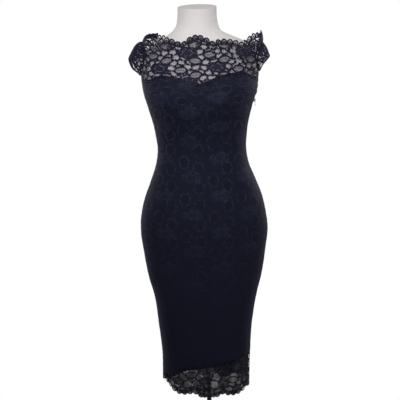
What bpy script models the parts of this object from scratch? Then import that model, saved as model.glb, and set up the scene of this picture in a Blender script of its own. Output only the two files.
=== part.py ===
"""A fitted lace cocktail dress on a limbless dress form. Metres, +Z up, the front towards -Y and the
wearer's left towards +X. The origin is on the floor, under the middle of the whole. The lace is cut
right through where it shows no lining: on the yoke, the cap sleeves and the hem band."""

import math

import bmesh
import bpy
import numpy as np
from mathutils import Matrix, Vector
from mathutils.geometry import delaunay_2d_cdt

MM = 0.001

# Rings of the body line, which is the form's own surface: height, reach towards the wearer's right
# and left, depth of the front and of the back, and how square the front and the back are (2 is an
# ellipse). All lengths are in millimetres. The dress stands a little outside this line.
BODY_SECTIONS = (
    # height, right, left, front, back, front_square, back_square
    (350, 127.5, 113.0, 94, 95, 2.70, 2.50),
    (395, 127.0, 114.0, 95, 96, 2.70, 2.50),
    (475, 126.0, 118.0, 96, 97, 2.65, 2.50),
    (550, 132.5, 124.5, 97, 100, 2.60, 2.45),
    (630, 141.0, 139.0, 100, 106, 2.50, 2.40),
    (700, 157.5, 157.0, 103, 114, 2.40, 2.40),
    (760, 166.0, 166.5, 106, 121, 2.35, 2.40),
    (820, 172.0, 174.5, 109, 128, 2.30, 2.40),
    (862, 169.0, 170.5, 108, 128, 2.30, 2.40),
    (905, 159.0, 162.0, 105, 121, 2.25, 2.35),
    (950, 142.0, 146.0, 99, 107, 2.20, 2.30),
    (1000, 124.0, 126.0, 91, 90, 2.20, 2.30),
    (1040, 117.0, 119.5, 87, 83, 2.20, 2.30),
    (1080, 119.5, 121.5, 92, 86, 2.20, 2.30),
    (1120, 127.0, 128.0, 104, 93, 2.30, 2.30),
    (1160, 137.5, 138.5, 119, 101, 2.45, 2.30),
    (1200, 148.5, 151.0, 123, 107, 2.50, 2.30),
    (1240, 153.5, 156.5, 115, 109, 2.35, 2.30),
)
# The same rings go on over the shoulders, for the dress and for the form apart.
DRESS_SHOULDER_SECTIONS = (
    (1270, 154.5, 161.5, 102, 106, 2.25, 2.25),
    (1300, 153.0, 168.0, 89, 99, 2.20, 2.20),
    (1322, 150.0, 171.5, 78, 91, 2.20, 2.20),
    (1342, 145.0, 171.5, 68, 80, 2.20, 2.20),
    (1360, 133.0, 167.0, 58, 65, 2.20, 2.20),
    (1378, 118.0, 160.0, 53, 57, 2.20, 2.20),
)
FORM_SHOULDER_SECTIONS = (
    (1270, 154.0, 156.0, 102, 105, 2.25, 2.25),
    (1300, 147.0, 148.5, 89, 98, 2.20, 2.20),
    (1320, 131.0, 137.0, 79, 89, 2.20, 2.20),
    (1335, 109.0, 119.5, 71, 80, 2.20, 2.20),
    (1349, 88.0, 88.5, 63, 70, 2.10, 2.10),
    (1361, 71.0, 64.5, 57, 62, 2.00, 2.00),
    (1375, 59.0, 56.5, 53, 56, 2.00, 2.00),
    (1395, 54.0, 53.0, 50, 52, 2.00, 2.00),
    (1426, 52.0, 52.3, 49, 50, 2.00, 2.00),
)
COLUMNS = 30
BUST_FULLNESS, BUST_HEIGHT, BUST_TALL = 7 * MM, 1192 * MM, 42 * MM
BUST_TURN, BUST_WIDE = math.radians(30), math.radians(17)
BUST_HOLLOW = 4 * MM
NECK_TILT_FROM, NECK_TILT = 1375 * MM, 0.17
FORM_UNDERSIDE, FORM_EDGE = 812 * MM, 8 * MM

# The layers over the body line.
LINING_INSIDE, LINING_WALL = 0.4 * MM, 1.0 * MM
LACE_INSIDE, LACE_WALL = 1.7 * MM, 1.2 * MM
SEAM_GAP = 0.3 * MM

# The pattern of the lace: flowers in a half-drop repeat, three leaves to a flower, and openings between.
FLOWER_STEP, FLOWER_SHIFT = 76 * MM, -29 * MM
FLOWER_WIDTH, FLOWER_HEIGHT = 50 * MM, 29 * MM
LEAF_WIDTH, LEAF_HEIGHT = 34 * MM, 20 * MM
LEAVES = ((20, -27), (20, 25), (58, -8))
PATTERN_HEIGHT = 1075 * MM
ROW_ABOVE, ROW_BELOW = 38.4 * MM, 49.3 * MM
OPENING_ACROSS, OPENING_UP = 17.0 * MM, 14.5 * MM
OPENING_WIDTH, OPENING_HEIGHT = 12.4 * MM, 10.2 * MM
OPENING_CORNERS = 5

# Scalloped edges with a picot loop every few millimetres.
SCALLOP, SCALLOP_RISE = 76 * MM, 13 * MM
PICOT, PICOT_RISE = SCALLOP / 5, 3.5 * MM
NECK_HEIGHT, NECK_LIFT = 1332 * MM, 15 * MM
BACK_NECK_HEIGHT = 1328 * MM
HEM_HEIGHT = 362 * MM
BORDER = 17 * MM

# How the worn edges are set above their lines: the way round from the panel's middle and the rise, in
# millimetres.
NECK_SET = ((-185, 0), (-172, -9), (-160, -17), (-145, -16), (-130, -10), (-112, -3), (-95, -3), (-80, -3),
            (-68, -7), (-50, -10), (-36, -3), (-20, 2), (0, 3), (30, -4), (60, -9), (80, -12), (120, -12),
            (132, -17), (145, -22), (160, -24), (172, -22), (184, -12), (193, 0))
BACK_NECK_SET = ((-185, 0), (-160, -4), (-148, -7), (-138, -12), (-60, -11), (0, -4), (45, -5), (60, -8),
                 (78, -3), (92, 4), (110, 13), (120, 14), (132, 9), (146, 2), (165, -2), (190, -3))
HEM_SET = ((-190, 18), (-170, 25), (-150, 35), (-138, 36), (-128, 31), (-119, 21), (-109, 12), (-90, 7),
           (-50, 5), (-38, -1), (-20, -5), (0, -7), (20, -5), (60, -2), (100, 1), (125, 4), (190, 5))

# The lining's edges: the way round from the middle of the front, and the height, in millimetres.
LINING_TOP = ((-190, 1236), (-140, 1240), (-105, 1251), (-62, 1246), (-22, 1232), (0, 1226), (22, 1233),
              (48, 1244), (80, 1251), (115, 1254), (150, 1243), (190, 1236))
LINING_HEM = ((-200, 402), (-110, 412), (-60, 440), (0, 447), (60, 452), (90, 464), (130, 474), (200, 478))
BACK_LINING_TOP = 1236 * MM
LINED_ROWS = (395 * MM, 1270 * MM)

# Each side: the angle of its seam, the armhole's middle and half height, its half turn round the body,
# how far the sleeve's puff falls in over the arm, and the cuff as turns from the top of the arm, reach,
# way forward and height.
ARMHOLE_TURN = math.radians(25)
CUFF_TURNS = (0, 45, 90, 135, 168)
SIDES = {
    "left": {"angle": 0.0, "out": 1, "middle": 1287 * MM, "rise": 41 * MM, "drop": 0.6,
             "cuff": ((188, 0, 1299), (190, 33, 1291), (181, 52, 1280), (168, 42, 1264), (162.5, 13, 1249))},
    "right": {"angle": math.pi, "out": -1, "middle": 1291 * MM, "rise": 46 * MM, "drop": 0.05,
              "cuff": ((186, 0, 1303), (186, 40, 1292), (177, 57, 1270), (162, 43, 1255), (157, 13, 1247))},
}
SLEEVE_PUFF = 14 * MM
SLEEVE_CLEAR, SLEEVE_CLEAR_BELOW = 2.25 * MM, 0.55 * MM

# The side zip, part open at the top, in the wearer's left seam.
ZIP_BOTTOM, ZIP_SLIDER = 960 * MM, 1178 * MM
ZIP_GAP, CHAIN_WIDTH, CHAIN_WALL = 4.0 * MM, 3.1 * MM, 2.3 * MM
ZIP_SPREAD = 4.5 * MM
SLIDER_SIZE = (3.0 * MM, 7.0 * MM, 10.0 * MM)
CROWN_SIZE = (2.9 * MM, 2.0 * MM, 7.0 * MM)
TUNNEL_RADIUS, TUNNEL_OUT = 0.95 * MM, 1.35 * MM
PULL_WIDTH, PULL_LENGTH, PULL_THICK = 4.6 * MM, 16.0 * MM, 1.0 * MM
PULL_EYE_WIDTH, PULL_EYE_LENGTH, PULL_BAR = 2.8 * MM, 4.8 * MM, 1.1 * MM

# The stand.
POLE_RADIUS = 6.5 * MM
BASE_RADIUS, BASE_THICK, BASE_ROUND = 150 * MM, 8 * MM, 3 * MM
BOSS_RADIUS, BOSS_HEIGHT = 16 * MM, 24 * MM
REST_GAP = 0.3 * MM


class Skin:
    """The rings as a grid of triangles, read at any angle and height, at any distance outside."""

    def __init__(self, sections):
        table = np.array(sections)
        self.heights = table[:, 0] * MM
        self.reaches = table[:, 1:5] * MM
        self.squares = table[:, 5:7]
        self.step = 2 * math.pi / COLUMNS
        self.points = np.array([[self.ring(i * self.step, h) for i in range(COLUMNS)]
                                for h in self.heights])
        around = np.roll(self.points, -1, axis=1) - np.roll(self.points, 1, axis=1)
        up = np.gradient(self.points, axis=0)
        across = np.cross(around, up)
        self.normals = across / np.linalg.norm(across, axis=2, keepdims=True)

    def ring(self, angle, height):
        """A point of the smooth body line."""
        right, left, front, back = (np.interp(height, self.heights, self.reaches[:, k]) for k in range(4))
        cosine, sine = math.cos(angle), math.sin(angle)
        side = left if cosine > 0 else right
        depth = back if sine > 0 else front
        square = np.interp(height, self.heights, self.squares[:, 1 if sine > 0 else 0])
        size = (abs(cosine) ** square + abs(sine) ** square) ** (-1 / square)
        x, y = size * side * cosine, size * depth * sine
        return np.array((x, y - bust(angle, height), height))

    def at(self, angle, height, outside=0.0):
        """A point of the grid of triangles, moved outwards along its corners' normals."""
        column, across = divmod(angle / self.step, 1.0)
        i, k = int(column) % COLUMNS, (int(column) + 1) % COLUMNS
        j = int(np.clip(np.searchsorted(self.heights, height, side="right") - 1, 0, len(self.heights) - 2))
        up = (height - self.heights[j]) / (self.heights[j + 1] - self.heights[j])
        if across >= up:
            corners = ((j, i, 1 - across), (j, k, across - up), (j + 1, k, up))
        else:
            corners = ((j, i, 1 - up), (j + 1, i, up - across), (j + 1, k, across))
        return sum((self.points[a, b] + outside * self.normals[a, b]) * share for a, b, share in corners)

    def way_round(self, height, middle):
        """The angles within a half turn of the middle, and how far round the ring each one lies."""
        angles = middle + np.linspace(-0.5, 0.5, 91) * math.pi
        ring = np.array([self.ring(a, height) for a in angles])
        steps = np.linalg.norm(np.diff(ring, axis=0), axis=1)
        ways = np.concatenate(([0.0], np.cumsum(steps)))
        return angles, ways - np.interp(middle, angles, ways)

    def angle_at(self, way, height, middle):
        angles, ways = self.way_round(height, middle)
        return np.interp(way, ways, angles)

    def way_at(self, angle, height, middle):
        angles, ways = self.way_round(height, middle)
        return np.interp(angle, angles, ways)


def bust(angle, height):
    """How far the front stands out for the bust, with a shallow hollow between its two sides."""
    level = math.exp(-(((height - BUST_HEIGHT) / BUST_TALL) ** 2))
    turn = (angle - FRONT + math.pi) % (2 * math.pi) - math.pi
    full = sum(math.exp(-(((turn - side * BUST_TURN) / BUST_WIDE) ** 2)) for side in (-1, 1))
    hollow = math.exp(-((turn / BUST_WIDE) ** 2))
    return level * (BUST_FULLNESS * full - BUST_HOLLOW * hollow)


FRONT, BACK = 1.5 * math.pi, 0.5 * math.pi
DRESS = Skin(BODY_SECTIONS + DRESS_SHOULDER_SECTIONS)
FORM = Skin(BODY_SECTIONS + FORM_SHOULDER_SECTIONS)


def material(name, colour, roughness, metallic=0.0):
    made = bpy.data.materials.new(name)
    made.use_nodes = True
    shader = made.node_tree.nodes["Principled BSDF"]
    shader.inputs["Base Color"].default_value = (*colour, 1)
    shader.inputs["Roughness"].default_value = roughness
    shader.inputs["Metallic"].default_value = metallic
    return made


def add_object(name, mesh, collection, finish=None):
    made = bpy.data.objects.new(name, mesh)
    collection.objects.link(made)
    if finish:
        mesh.materials.append(finish)
    return made


def wall(made, thickness, even=True):
    """Gives an open sheet its thickness, on the outer side."""
    solidify = made.modifiers.new("Wall", "SOLIDIFY")
    solidify.thickness = thickness
    solidify.offset = 1
    solidify.use_even_offset = even
    return made


def cut_sheet(name, outline, openings, lines, place):
    """An open sheet: the outline less its openings, cut along the lines, each point put in place."""
    points, edges, faces = [], [], []
    for loop in [outline, *openings]:
        faces.append(list(range(len(points), len(points) + len(loop))))
        points += [Vector(p) for p in loop]
    for start, end in lines:
        edges.append((len(points), len(points) + 1))
        points += [Vector(start), Vector(end)]
    flat, _, triangles, _, _, sources = delaunay_2d_cdt(points, edges, faces, 0, 2e-5)
    kept = [t for t, source in zip(triangles, sources) if source == [0]]
    used = sorted({corner for t in kept for corner in t})
    number = {corner: i for i, corner in enumerate(used)}
    mesh = bpy.data.meshes.new(name)
    mesh.from_pydata([place(*flat[c]) for c in used], [], [[number[c] for c in t] for t in kept])
    mesh.validate()
    return mesh


# Panels are drawn flat, with the angle stretched to about its real length across.
FLAT_RADIUS = 130 * MM


def flat(angle, height):
    return angle * FLAT_RADIUS, height


def on_dress(outside):
    return lambda across, height: DRESS.at(across / FLAT_RADIUS, height, outside)


def grid_lines(first, last, lowest, highest):
    """The edges of the body grid between two angles and two heights."""
    rows = [h for h in DRESS.heights if lowest <= h <= highest]
    columns = range(math.ceil(first / DRESS.step - 1e-6) - 1, math.floor(last / DRESS.step + 1e-6) + 2)
    columns = [c for c in columns if first - DRESS.step < c * DRESS.step < last + DRESS.step]
    lines = [(flat(a * DRESS.step, h), flat(b * DRESS.step, h)) for h in rows for a, b in pairs(columns)]
    inner = [c for c in columns if first + 1e-6 < c * DRESS.step < last - 1e-6]
    lines += [(flat(c * DRESS.step, low), flat(c * DRESS.step, high))
              for c in inner for low, high in pairs(rows)]
    lines += [(flat(a * DRESS.step, low), flat(b * DRESS.step, high))
              for a, b in pairs(columns) for low, high in pairs(rows)]
    return lines


def pairs(values):
    return list(zip(values[:-1], values[1:]))


def scallops(way, phase=0.0):
    """The height of a scalloped edge above its valleys, with its picot loops."""
    crest = abs(math.cos(math.pi * (way - phase) / SCALLOP)) ** 0.7
    loop = abs(math.sin(math.pi * (way - phase) / PICOT)) ** 0.6
    return SCALLOP_RISE * crest + PICOT_RISE * loop


def read_edge(table, angle, height, middle):
    """An edge's height at an angle, from its table of ways at one height."""
    ways, heights = np.array(table).T * MM
    return np.interp(DRESS.way_at(angle, height, middle), ways, heights)


def shoulder_share(angle):
    """1 at the shoulders and 0 at the middle of the front and the back."""
    return abs(math.cos(angle)) ** 4


def neck_line(angle, middle):
    """The neck's edge below its scallops."""
    height, rises = (NECK_HEIGHT, NECK_SET) if middle == FRONT else (BACK_NECK_HEIGHT, BACK_NECK_SET)
    lift = NECK_LIFT + NECK_HEIGHT - height
    return height + lift * shoulder_share(angle) + read_edge(rises, angle, height, middle)


def neck_edge(angle, middle):
    height = NECK_HEIGHT if middle == FRONT else BACK_NECK_HEIGHT
    return neck_line(angle, middle) + scallops(DRESS.way_at(angle, height, middle))


def hem_line(angle, middle):
    """The lowest that the hem hangs, the same on the front and the back."""
    turned = angle if middle == FRONT else 2 * math.pi - angle
    return HEM_HEIGHT + read_edge(HEM_SET, turned, HEM_HEIGHT, FRONT)


def hem_edge(angle, middle):
    way = DRESS.way_at(angle, HEM_HEIGHT, middle)
    return hem_line(angle, middle) + SCALLOP_RISE + PICOT_RISE - scallops(way)


def edge_angles(first, last, height, middle):
    """Angles along a scalloped edge, three to a picot loop."""
    start, end = (DRESS.way_at(a, height, middle) for a in (first, last))
    spots = sorted(k * PICOT + part * PICOT for k in range(-30, 31) for part in (0, 0.3, 0.7))
    inside = [s for s in spots if start + 1.5 * MM < s < end - 1.5 * MM]
    return [first, *(DRESS.angle_at(s, height, middle) for s in inside), last]


def seam_half_gap(side, height):
    """Half of the gap at a side seam, which is wider along the zip and spreads above its slider."""
    if side["out"] < 0 or height <= ZIP_BOTTOM:
        return SEAM_GAP / 2
    spread = np.clip((height - ZIP_SLIDER) / (side["middle"] - side["rise"] - ZIP_SLIDER), 0, 1)
    return ZIP_GAP / 2 + (ZIP_SPREAD - ZIP_GAP / 2) * spread


def half_gap_angle(side, height, inwards):
    """That gap as an angle, from the seam into the panel."""
    gap = SEAM_GAP / 2 if height > side["middle"] else seam_half_gap(side, height)
    ahead = side["angle"] + 0.02 * inwards
    slope = abs(DRESS.ring(ahead, height)[1] - DRESS.ring(side["angle"], height)[1]) / 0.02
    return gap / slope


def side_edge(side, inwards, lowest, highest, armhole=True):
    """A panel's side from bottom to top: the seam, the armhole's curve and the short shoulder seam."""
    foot = side["middle"] - side["rise"]
    seam = [lowest, *(h for h in DRESS.heights if lowest < h < min(foot, highest))]
    if side["out"] > 0:
        seam += [ZIP_BOTTOM, ZIP_BOTTOM + 0.5 * MM, ZIP_SLIDER]
    seam = sorted({h for h in seam if lowest <= h < min(foot, highest) - 1 * MM})
    points = [(half_gap_angle(side, h, inwards), h) for h in [*seam, min(foot, highest)]]
    if armhole:
        narrow = half_gap_angle(side, side["middle"] + side["rise"], inwards)
        for step in range(1, 12):
            turn = math.pi * (1 - step / 12)
            start = points[len(seam)][0] * max(0.0, math.cos(math.pi - turn))
            points.append((max(narrow, start, ARMHOLE_TURN * math.sin(turn)),
                           side["middle"] + side["rise"] * math.cos(turn)))
        points += [(narrow, side["middle"] + side["rise"]), (narrow, highest)]
    return [(side["angle"] + inwards * turn, height) for turn, height in points]


def panel_sides(middle):
    """The two sides of a panel in the order of their angles: the side, and which way is inwards."""
    if middle == FRONT:
        return (dict(SIDES["right"]), 1), (dict(SIDES["left"], angle=2 * math.pi), -1)
    return (dict(SIDES["left"]), 1), (dict(SIDES["right"]), -1)


def lace_outline(middle):
    (first, up), (last, down) = panel_sides(middle)
    hem_first, hem_last = hem_edge(first["angle"], middle), hem_edge(last["angle"], middle)
    neck_first, neck_last = neck_edge(first["angle"], middle), neck_edge(last["angle"], middle)
    rise = side_edge(last, down, hem_last, neck_last)
    fall = side_edge(first, up, hem_first, neck_first)[::-1]
    hem = edge_angles(fall[-1][0], rise[0][0], HEM_HEIGHT, middle)[1:-1]
    neck = edge_angles(fall[0][0], rise[-1][0], NECK_HEIGHT, middle)[1:-1]
    outline = [(a, hem_edge(a, middle)) for a in hem] + rise
    outline += [(a, neck_edge(a, middle)) for a in reversed(neck)] + fall
    return [flat(a, h) for a, h in outline]


def lining_top(angle, middle):
    return read_edge(LINING_TOP, angle, 1240 * MM, middle) if middle == FRONT else BACK_LINING_TOP


def lining_hem(angle, middle):
    if middle == FRONT:
        return read_edge(LINING_HEM, angle, 430 * MM, middle)
    return read_edge(LINING_HEM, 2 * math.pi - angle, 430 * MM, FRONT)


def lining_outline(middle):
    (first, up), (last, down) = panel_sides(middle)
    rise = side_edge(last, down, lining_hem(last["angle"], middle), lining_top(last["angle"], middle), False)
    fall = side_edge(first, up, lining_hem(first["angle"], middle), lining_top(first["angle"], middle), False)
    between = np.linspace(fall[0][0], rise[0][0], 25)[1:-1]
    outline = [(a, lining_hem(a, middle)) for a in between] + rise
    outline += [(a, lining_top(a, middle)) for a in reversed(between)] + fall[::-1]
    return [flat(a, h) for a, h in outline]


def pattern_row(height):
    """The height as a count of rows of flowers."""
    above = height - PATTERN_HEIGHT
    return above / (ROW_ABOVE if above > 0 else ROW_BELOW)


def in_motif(way, height, margin):
    """Whether a place in the lace is on a flower or a leaf."""
    row = pattern_row(height)
    scale = ROW_ABOVE if height > PATTERN_HEIGHT else ROW_BELOW
    for k in range(math.floor(row) - 1, math.ceil(row) + 2):
        shift = FLOWER_SHIFT + FLOWER_STEP * (k % 2)
        column = round((way - shift) / (2 * FLOWER_STEP))
        for near in (column - 1, column, column + 1):
            across = way - shift - near * 2 * FLOWER_STEP
            up = (row - k) * scale
            marks = [(0, 0, FLOWER_WIDTH, FLOWER_HEIGHT)]
            marks += [(x * MM, y * MM * scale / ROW_BELOW, LEAF_WIDTH, LEAF_HEIGHT) for x, y in LEAVES]
            for x, y, wide, high in marks:
                if math.hypot((across - x) / (wide / 2 + margin), (up - y) / (high / 2 + margin)) < 1:
                    return True
    return False


def opening(way, height, number):
    """One opening of the ground: a crooked ring of corners about its middle."""
    corners = []
    for k in range(OPENING_CORNERS):
        turn = 2 * math.pi * (k + 0.25 * math.sin(number * 2.1)) / OPENING_CORNERS
        size = 1 + 0.16 * math.sin(number * 1.7 + k * 2.4)
        corners.append((way + OPENING_WIDTH / 2 * size * math.cos(turn),
                        height + OPENING_HEIGHT / 2 * size * math.sin(turn)))
    return corners


def openings_between(middle, lowest, highest, half_width, keep):
    """Openings on a staggered grid between two heights, wherever the ground shows."""
    found, number = [], 0
    for row in range(math.ceil(lowest / OPENING_UP), math.floor(highest / OPENING_UP) + 1):
        height = row * OPENING_UP
        shift = OPENING_ACROSS / 2 * (row % 2)
        for column in range(-12, 13):
            way = column * OPENING_ACROSS + shift
            number += 1
            if abs(way) > half_width(height) or in_motif(way, height, 1.5 * MM) or not keep(way, height):
                continue
            ring = opening(way, height, number)
            found.append([flat(DRESS.angle_at(w, height, middle), h) for w, h in ring])
    return found


def armhole_clear(angle, height, margin):
    """Whether a place lies outside both armholes, by the margin."""
    for side in SIDES.values():
        turn = (angle - side["angle"] + math.pi) % (2 * math.pi) - math.pi
        wide = ARMHOLE_TURN + margin / (110 * MM)
        if math.hypot(turn / wide, (height - side["middle"]) / (side["rise"] + margin)) < 1:
            return False
    return True


def lace_openings(middle):
    edge = 9 * MM

    def in_yoke(way, height):
        angle = DRESS.angle_at(way, height, middle)
        over_lining = height > lining_top(angle, middle) + OPENING_HEIGHT / 2 + 2.5 * MM
        under_neck = height < neck_line(angle, middle) - OPENING_HEIGHT / 2 + 2 * MM
        return over_lining and under_neck and armhole_clear(angle, height, edge)

    def in_hem(way, height):
        angle = DRESS.angle_at(way, height, middle)
        under_lining = height < lining_hem(angle, middle) - OPENING_HEIGHT / 2 - 1.5 * MM
        return under_lining and height > hem_line(angle, middle) + BORDER + 4 * MM

    def half_width(height):
        quarter = min(abs(DRESS.way_at(a, height, middle)) for a in (middle - 1.5707, middle + 1.5707))
        return quarter - edge

    yoke = openings_between(middle, 1230 * MM, 1350 * MM, half_width, in_yoke)
    hem = openings_between(middle, HEM_HEIGHT + BORDER - 4 * MM, 470 * MM, half_width, in_hem)
    return yoke + hem


def armhole_point(side, turn, inside):
    """A point of the sleeve's seam: on the armhole, drawn in by the room that its wall takes."""
    around = ARMHOLE_TURN - inside / (105 * MM)
    up = side["rise"] - inside
    angle = side["angle"] - side["out"] * around * math.sin(turn)
    return DRESS.at(angle % (2 * math.pi), side["middle"] + up * math.cos(turn), LACE_INSIDE)


def cuff_point(side, turn):
    """A point of the cuff, from its table of turns."""
    reach, forward, height = (np.interp(abs(math.degrees(turn)), CUFF_TURNS, [row[k] for row in side["cuff"]])
                              for k in range(3))
    if abs(turn) < math.pi / 2:
        forward = side["cuff"][2][1] * math.sin(abs(turn)) ** 0.9
    return np.array((side["out"] * reach, -math.copysign(forward, turn), height)) * MM


def sleeve_point(side, turn, share):
    """A point of the sleeve between its seam, at share 0, and its cuff, at share 1."""
    drawn_in = SLEEVE_CLEAR + SLEEVE_CLEAR_BELOW * math.sin(turn / 2) ** 2
    seam, cuff = armhole_point(side, turn, drawn_in), cuff_point(side, turn)
    full = max(0.0, math.cos(turn * 0.52)) * (1 - side["drop"] * max(0.0, math.cos(turn)) ** 2)
    puff = SLEEVE_PUFF * full * math.sin(math.pi * min(share, 1.0) ** 0.8)
    out = np.array((side["out"] * 0.75, -0.75 * math.sin(turn), 0.9 * math.cos(turn)))
    return seam + (cuff - seam) * share + puff * out


SLEEVE_END = math.radians(152)
SLEEVE_FLAT_TURN, SLEEVE_FLAT_LENGTH = 58 * MM, 44 * MM


def sleeve_outline():
    """The sleeve laid flat: its seam below and the scalloped cuff above."""
    steps = np.linspace(-SLEEVE_END, SLEEVE_END, 25)
    count = 12
    cuff = []
    for k in range(3 * count + 1):
        turn = SLEEVE_END - 2 * SLEEVE_END * k / (3 * count)
        loop = (0.0, 1.0, 1.0)[k % 3]
        fade = min(1.0, (SLEEVE_END - abs(turn)) / math.radians(25))
        cuff.append((turn, 1.02 + 0.07 * loop * fade))
    return [(t * SLEEVE_FLAT_TURN, 0.0) for t in steps] + \
           [(t * SLEEVE_FLAT_TURN, share * SLEEVE_FLAT_LENGTH) for t, share in cuff]


def sleeve_openings():
    """Openings of the sleeve: two rows over the shoulder, round the flower in its middle."""
    found = []
    for share, count, reach in ((0.24, 9, 92), (0.52, 8, 84), (0.79, 9, 92)):
        for k in range(count):
            turn = math.radians(-reach + 2 * reach * k / (count - 1))
            if math.hypot(turn / math.radians(24), (share - 0.52) / 0.3) < 1:
                continue
            size = 0.84 - 0.24 * abs(turn) / math.radians(92)
            ring = opening(0.0, 0.0, k + 11 * share)
            found.append([(turn * SLEEVE_FLAT_TURN + x * size, share * SLEEVE_FLAT_LENGTH + y * size * 0.86)
                          for x, y in ring])
    return found


def sleeve_lines():
    steps = np.linspace(-SLEEVE_END, SLEEVE_END, 19)[1:-1]
    return [((t * SLEEVE_FLAT_TURN, 0.0), (t * SLEEVE_FLAT_TURN, 0.98 * SLEEVE_FLAT_LENGTH)) for t in steps]


def lace_panel(name, middle, collection, finish):
    sides = panel_sides(middle)
    lines = grid_lines(sides[0][0]["angle"], sides[1][0]["angle"], *LINED_ROWS)
    mesh = cut_sheet(name, lace_outline(middle), lace_openings(middle), lines, on_dress(LACE_INSIDE))
    return wall(add_object(name, mesh, collection, finish), LACE_WALL)


def lining_panel(name, middle, collection, finish):
    sides = panel_sides(middle)
    lines = grid_lines(sides[0][0]["angle"], sides[1][0]["angle"], *LINED_ROWS)
    mesh = cut_sheet(name, lining_outline(middle), [], lines, on_dress(LINING_INSIDE))
    return wall(add_object(name, mesh, collection, finish), LINING_WALL)


def sleeve(name, side, collection, finish):
    def place(across, along):
        return sleeve_point(side, across / SLEEVE_FLAT_TURN, along / SLEEVE_FLAT_LENGTH)

    mesh = cut_sheet(name, sleeve_outline(), sleeve_openings(), sleeve_lines(), place)
    middle = sum((Vector(place(0.0, s * SLEEVE_FLAT_LENGTH)) for s in (0.3, 0.7)), Vector()) / 2
    top = min(mesh.polygons, key=lambda face: (face.center - middle).length)
    if top.normal.z < 0:
        mesh.flip_normals()
    return wall(add_object(name, mesh, collection, finish), LACE_WALL, even=False)


def dress_form(name, collection, finish):
    """The torso, from its flat underside to the neck's sloping cap."""
    rows = [(h, FORM.points[j]) for j, h in enumerate(FORM.heights) if h >= 820 * MM]
    under = rows[0][1].copy()
    under[:, :2] *= 1 - FORM_EDGE / np.linalg.norm(under[:, :2], axis=1, keepdims=True)
    under[:, 2] = FORM_UNDERSIDE
    rings = [under, *(ring for _, ring in rows)]
    bm = bmesh.new()
    made = []
    for ring in rings:
        tilt = NECK_TILT * np.clip((ring[0, 2] - NECK_TILT_FROM) / (51 * MM), 0, 1)
        made.append([bm.verts.new((x, y, z + tilt * y)) for x, y, z in ring])
    for low, high in pairs(made):
        for i in range(COLUMNS):
            k = (i + 1) % COLUMNS
            bm.faces.new((low[i], low[k], high[k]))
            bm.faces.new((low[i], high[k], high[i]))
    bm.faces.new(made[0][::-1])
    bm.faces.new(made[-1])
    mesh = bpy.data.meshes.new(name)
    bm.to_mesh(mesh)
    bm.free()
    mesh.shade_smooth()
    mesh.set_sharp_from_angle(angle=math.radians(40))
    return add_object(name, mesh, collection, finish)


def zip_chain(name, collection, finish):
    """The closed stretch of the zip, which fills the seam's gap up to its slider."""
    half = CHAIN_WIDTH / 2

    def place(across, height):
        spot = DRESS.at(0.0, height, LINING_INSIDE)
        return spot + np.array((0.0, across, 0.0))

    heights = [ZIP_BOTTOM + 1 * MM, *(h for h in DRESS.heights if ZIP_BOTTOM + 5 * MM < h < ZIP_SLIDER)]
    heights.append(ZIP_SLIDER)
    outline = [(-half, heights[0]), *((half, h) for h in heights), *((-half, h) for h in heights[:0:-1])]
    lines = [((-half, h), (half, h)) for h in heights[1:-1]]
    mesh = cut_sheet(name, outline, [], lines, place)
    return wall(add_object(name, mesh, collection, finish), CHAIN_WALL)


def seat_of_slider():
    """Where the slider sits over the closed end of the chain, and which way it faces."""
    height = ZIP_SLIDER - SLIDER_SIZE[2] / 2 + 1 * MM
    low = DRESS.at(0.0, height - 5 * MM, LACE_INSIDE + LACE_WALL)
    high = DRESS.at(0.0, height + 5 * MM, LACE_INSIDE + LACE_WALL)
    up = Vector(high - low).normalized()
    out = Vector((0, 1, 0)).cross(up)
    place = Vector(low + high) / 2 + out * SEAM_GAP
    turn = Matrix((out, (0, 1, 0), up)).transposed().to_4x4()
    return Matrix.Translation(place) @ turn


def block(name, size, place, collection, finish=None):
    """A box on the plane x = 0 of its own frame, reaching outwards."""
    bpy.ops.mesh.primitive_cube_add(size=1)
    made = bpy.context.active_object
    made.name = name
    for corner in made.data.vertices:
        corner.co = Vector(((corner.co.x + 0.5) * size[0], corner.co.y * size[1], corner.co.z * size[2]))
    made.matrix_world = place
    move_to(made, collection)
    if finish:
        made.data.materials.append(finish)
    return made


def move_to(made, collection):
    for home in list(made.users_collection):
        home.objects.unlink(made)
    collection.objects.link(made)


def bevel(made, width, segments=2):
    rounded = made.modifiers.new("Rounded edges", "BEVEL")
    rounded.width = width
    rounded.segments = segments
    rounded.limit_method = "ANGLE"


def boolean(made, other, operation):
    step = made.modifiers.new(operation.title(), "BOOLEAN")
    step.operation = operation
    step.object = other
    other.hide_render = True
    other.display_type = "WIRE"


def zip_slider(name, collection, cutters, finish):
    """The slider's body with its crown, which the pull's bar goes through."""
    seat = seat_of_slider()
    made = block(name, SLIDER_SIZE, seat, collection, finish)
    bevel(made, 0.7 * MM)
    crown_seat = seat @ Matrix.Translation((SLIDER_SIZE[0] - 0.4 * MM, 0, 0))
    crown = block("slider_crown", (CROWN_SIZE[0] + 0.4 * MM, *CROWN_SIZE[1:]), crown_seat, cutters)
    bevel(crown, 0.4 * MM)
    boolean(made, crown, "UNION")
    bpy.ops.mesh.primitive_cylinder_add(vertices=16, radius=TUNNEL_RADIUS, depth=6 * MM)
    tunnel = bpy.context.active_object
    tunnel.name = "slider_tunnel"
    side_on = Matrix.Rotation(math.radians(90), 4, "X")
    tunnel.matrix_world = Matrix.Translation(pull_pivot()) @ side_on
    move_to(tunnel, cutters)
    boolean(made, tunnel, "DIFFERENCE")
    return made


def pull_pivot():
    return seat_of_slider() @ Vector((SLIDER_SIZE[0] + TUNNEL_OUT, 0, 0))


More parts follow.
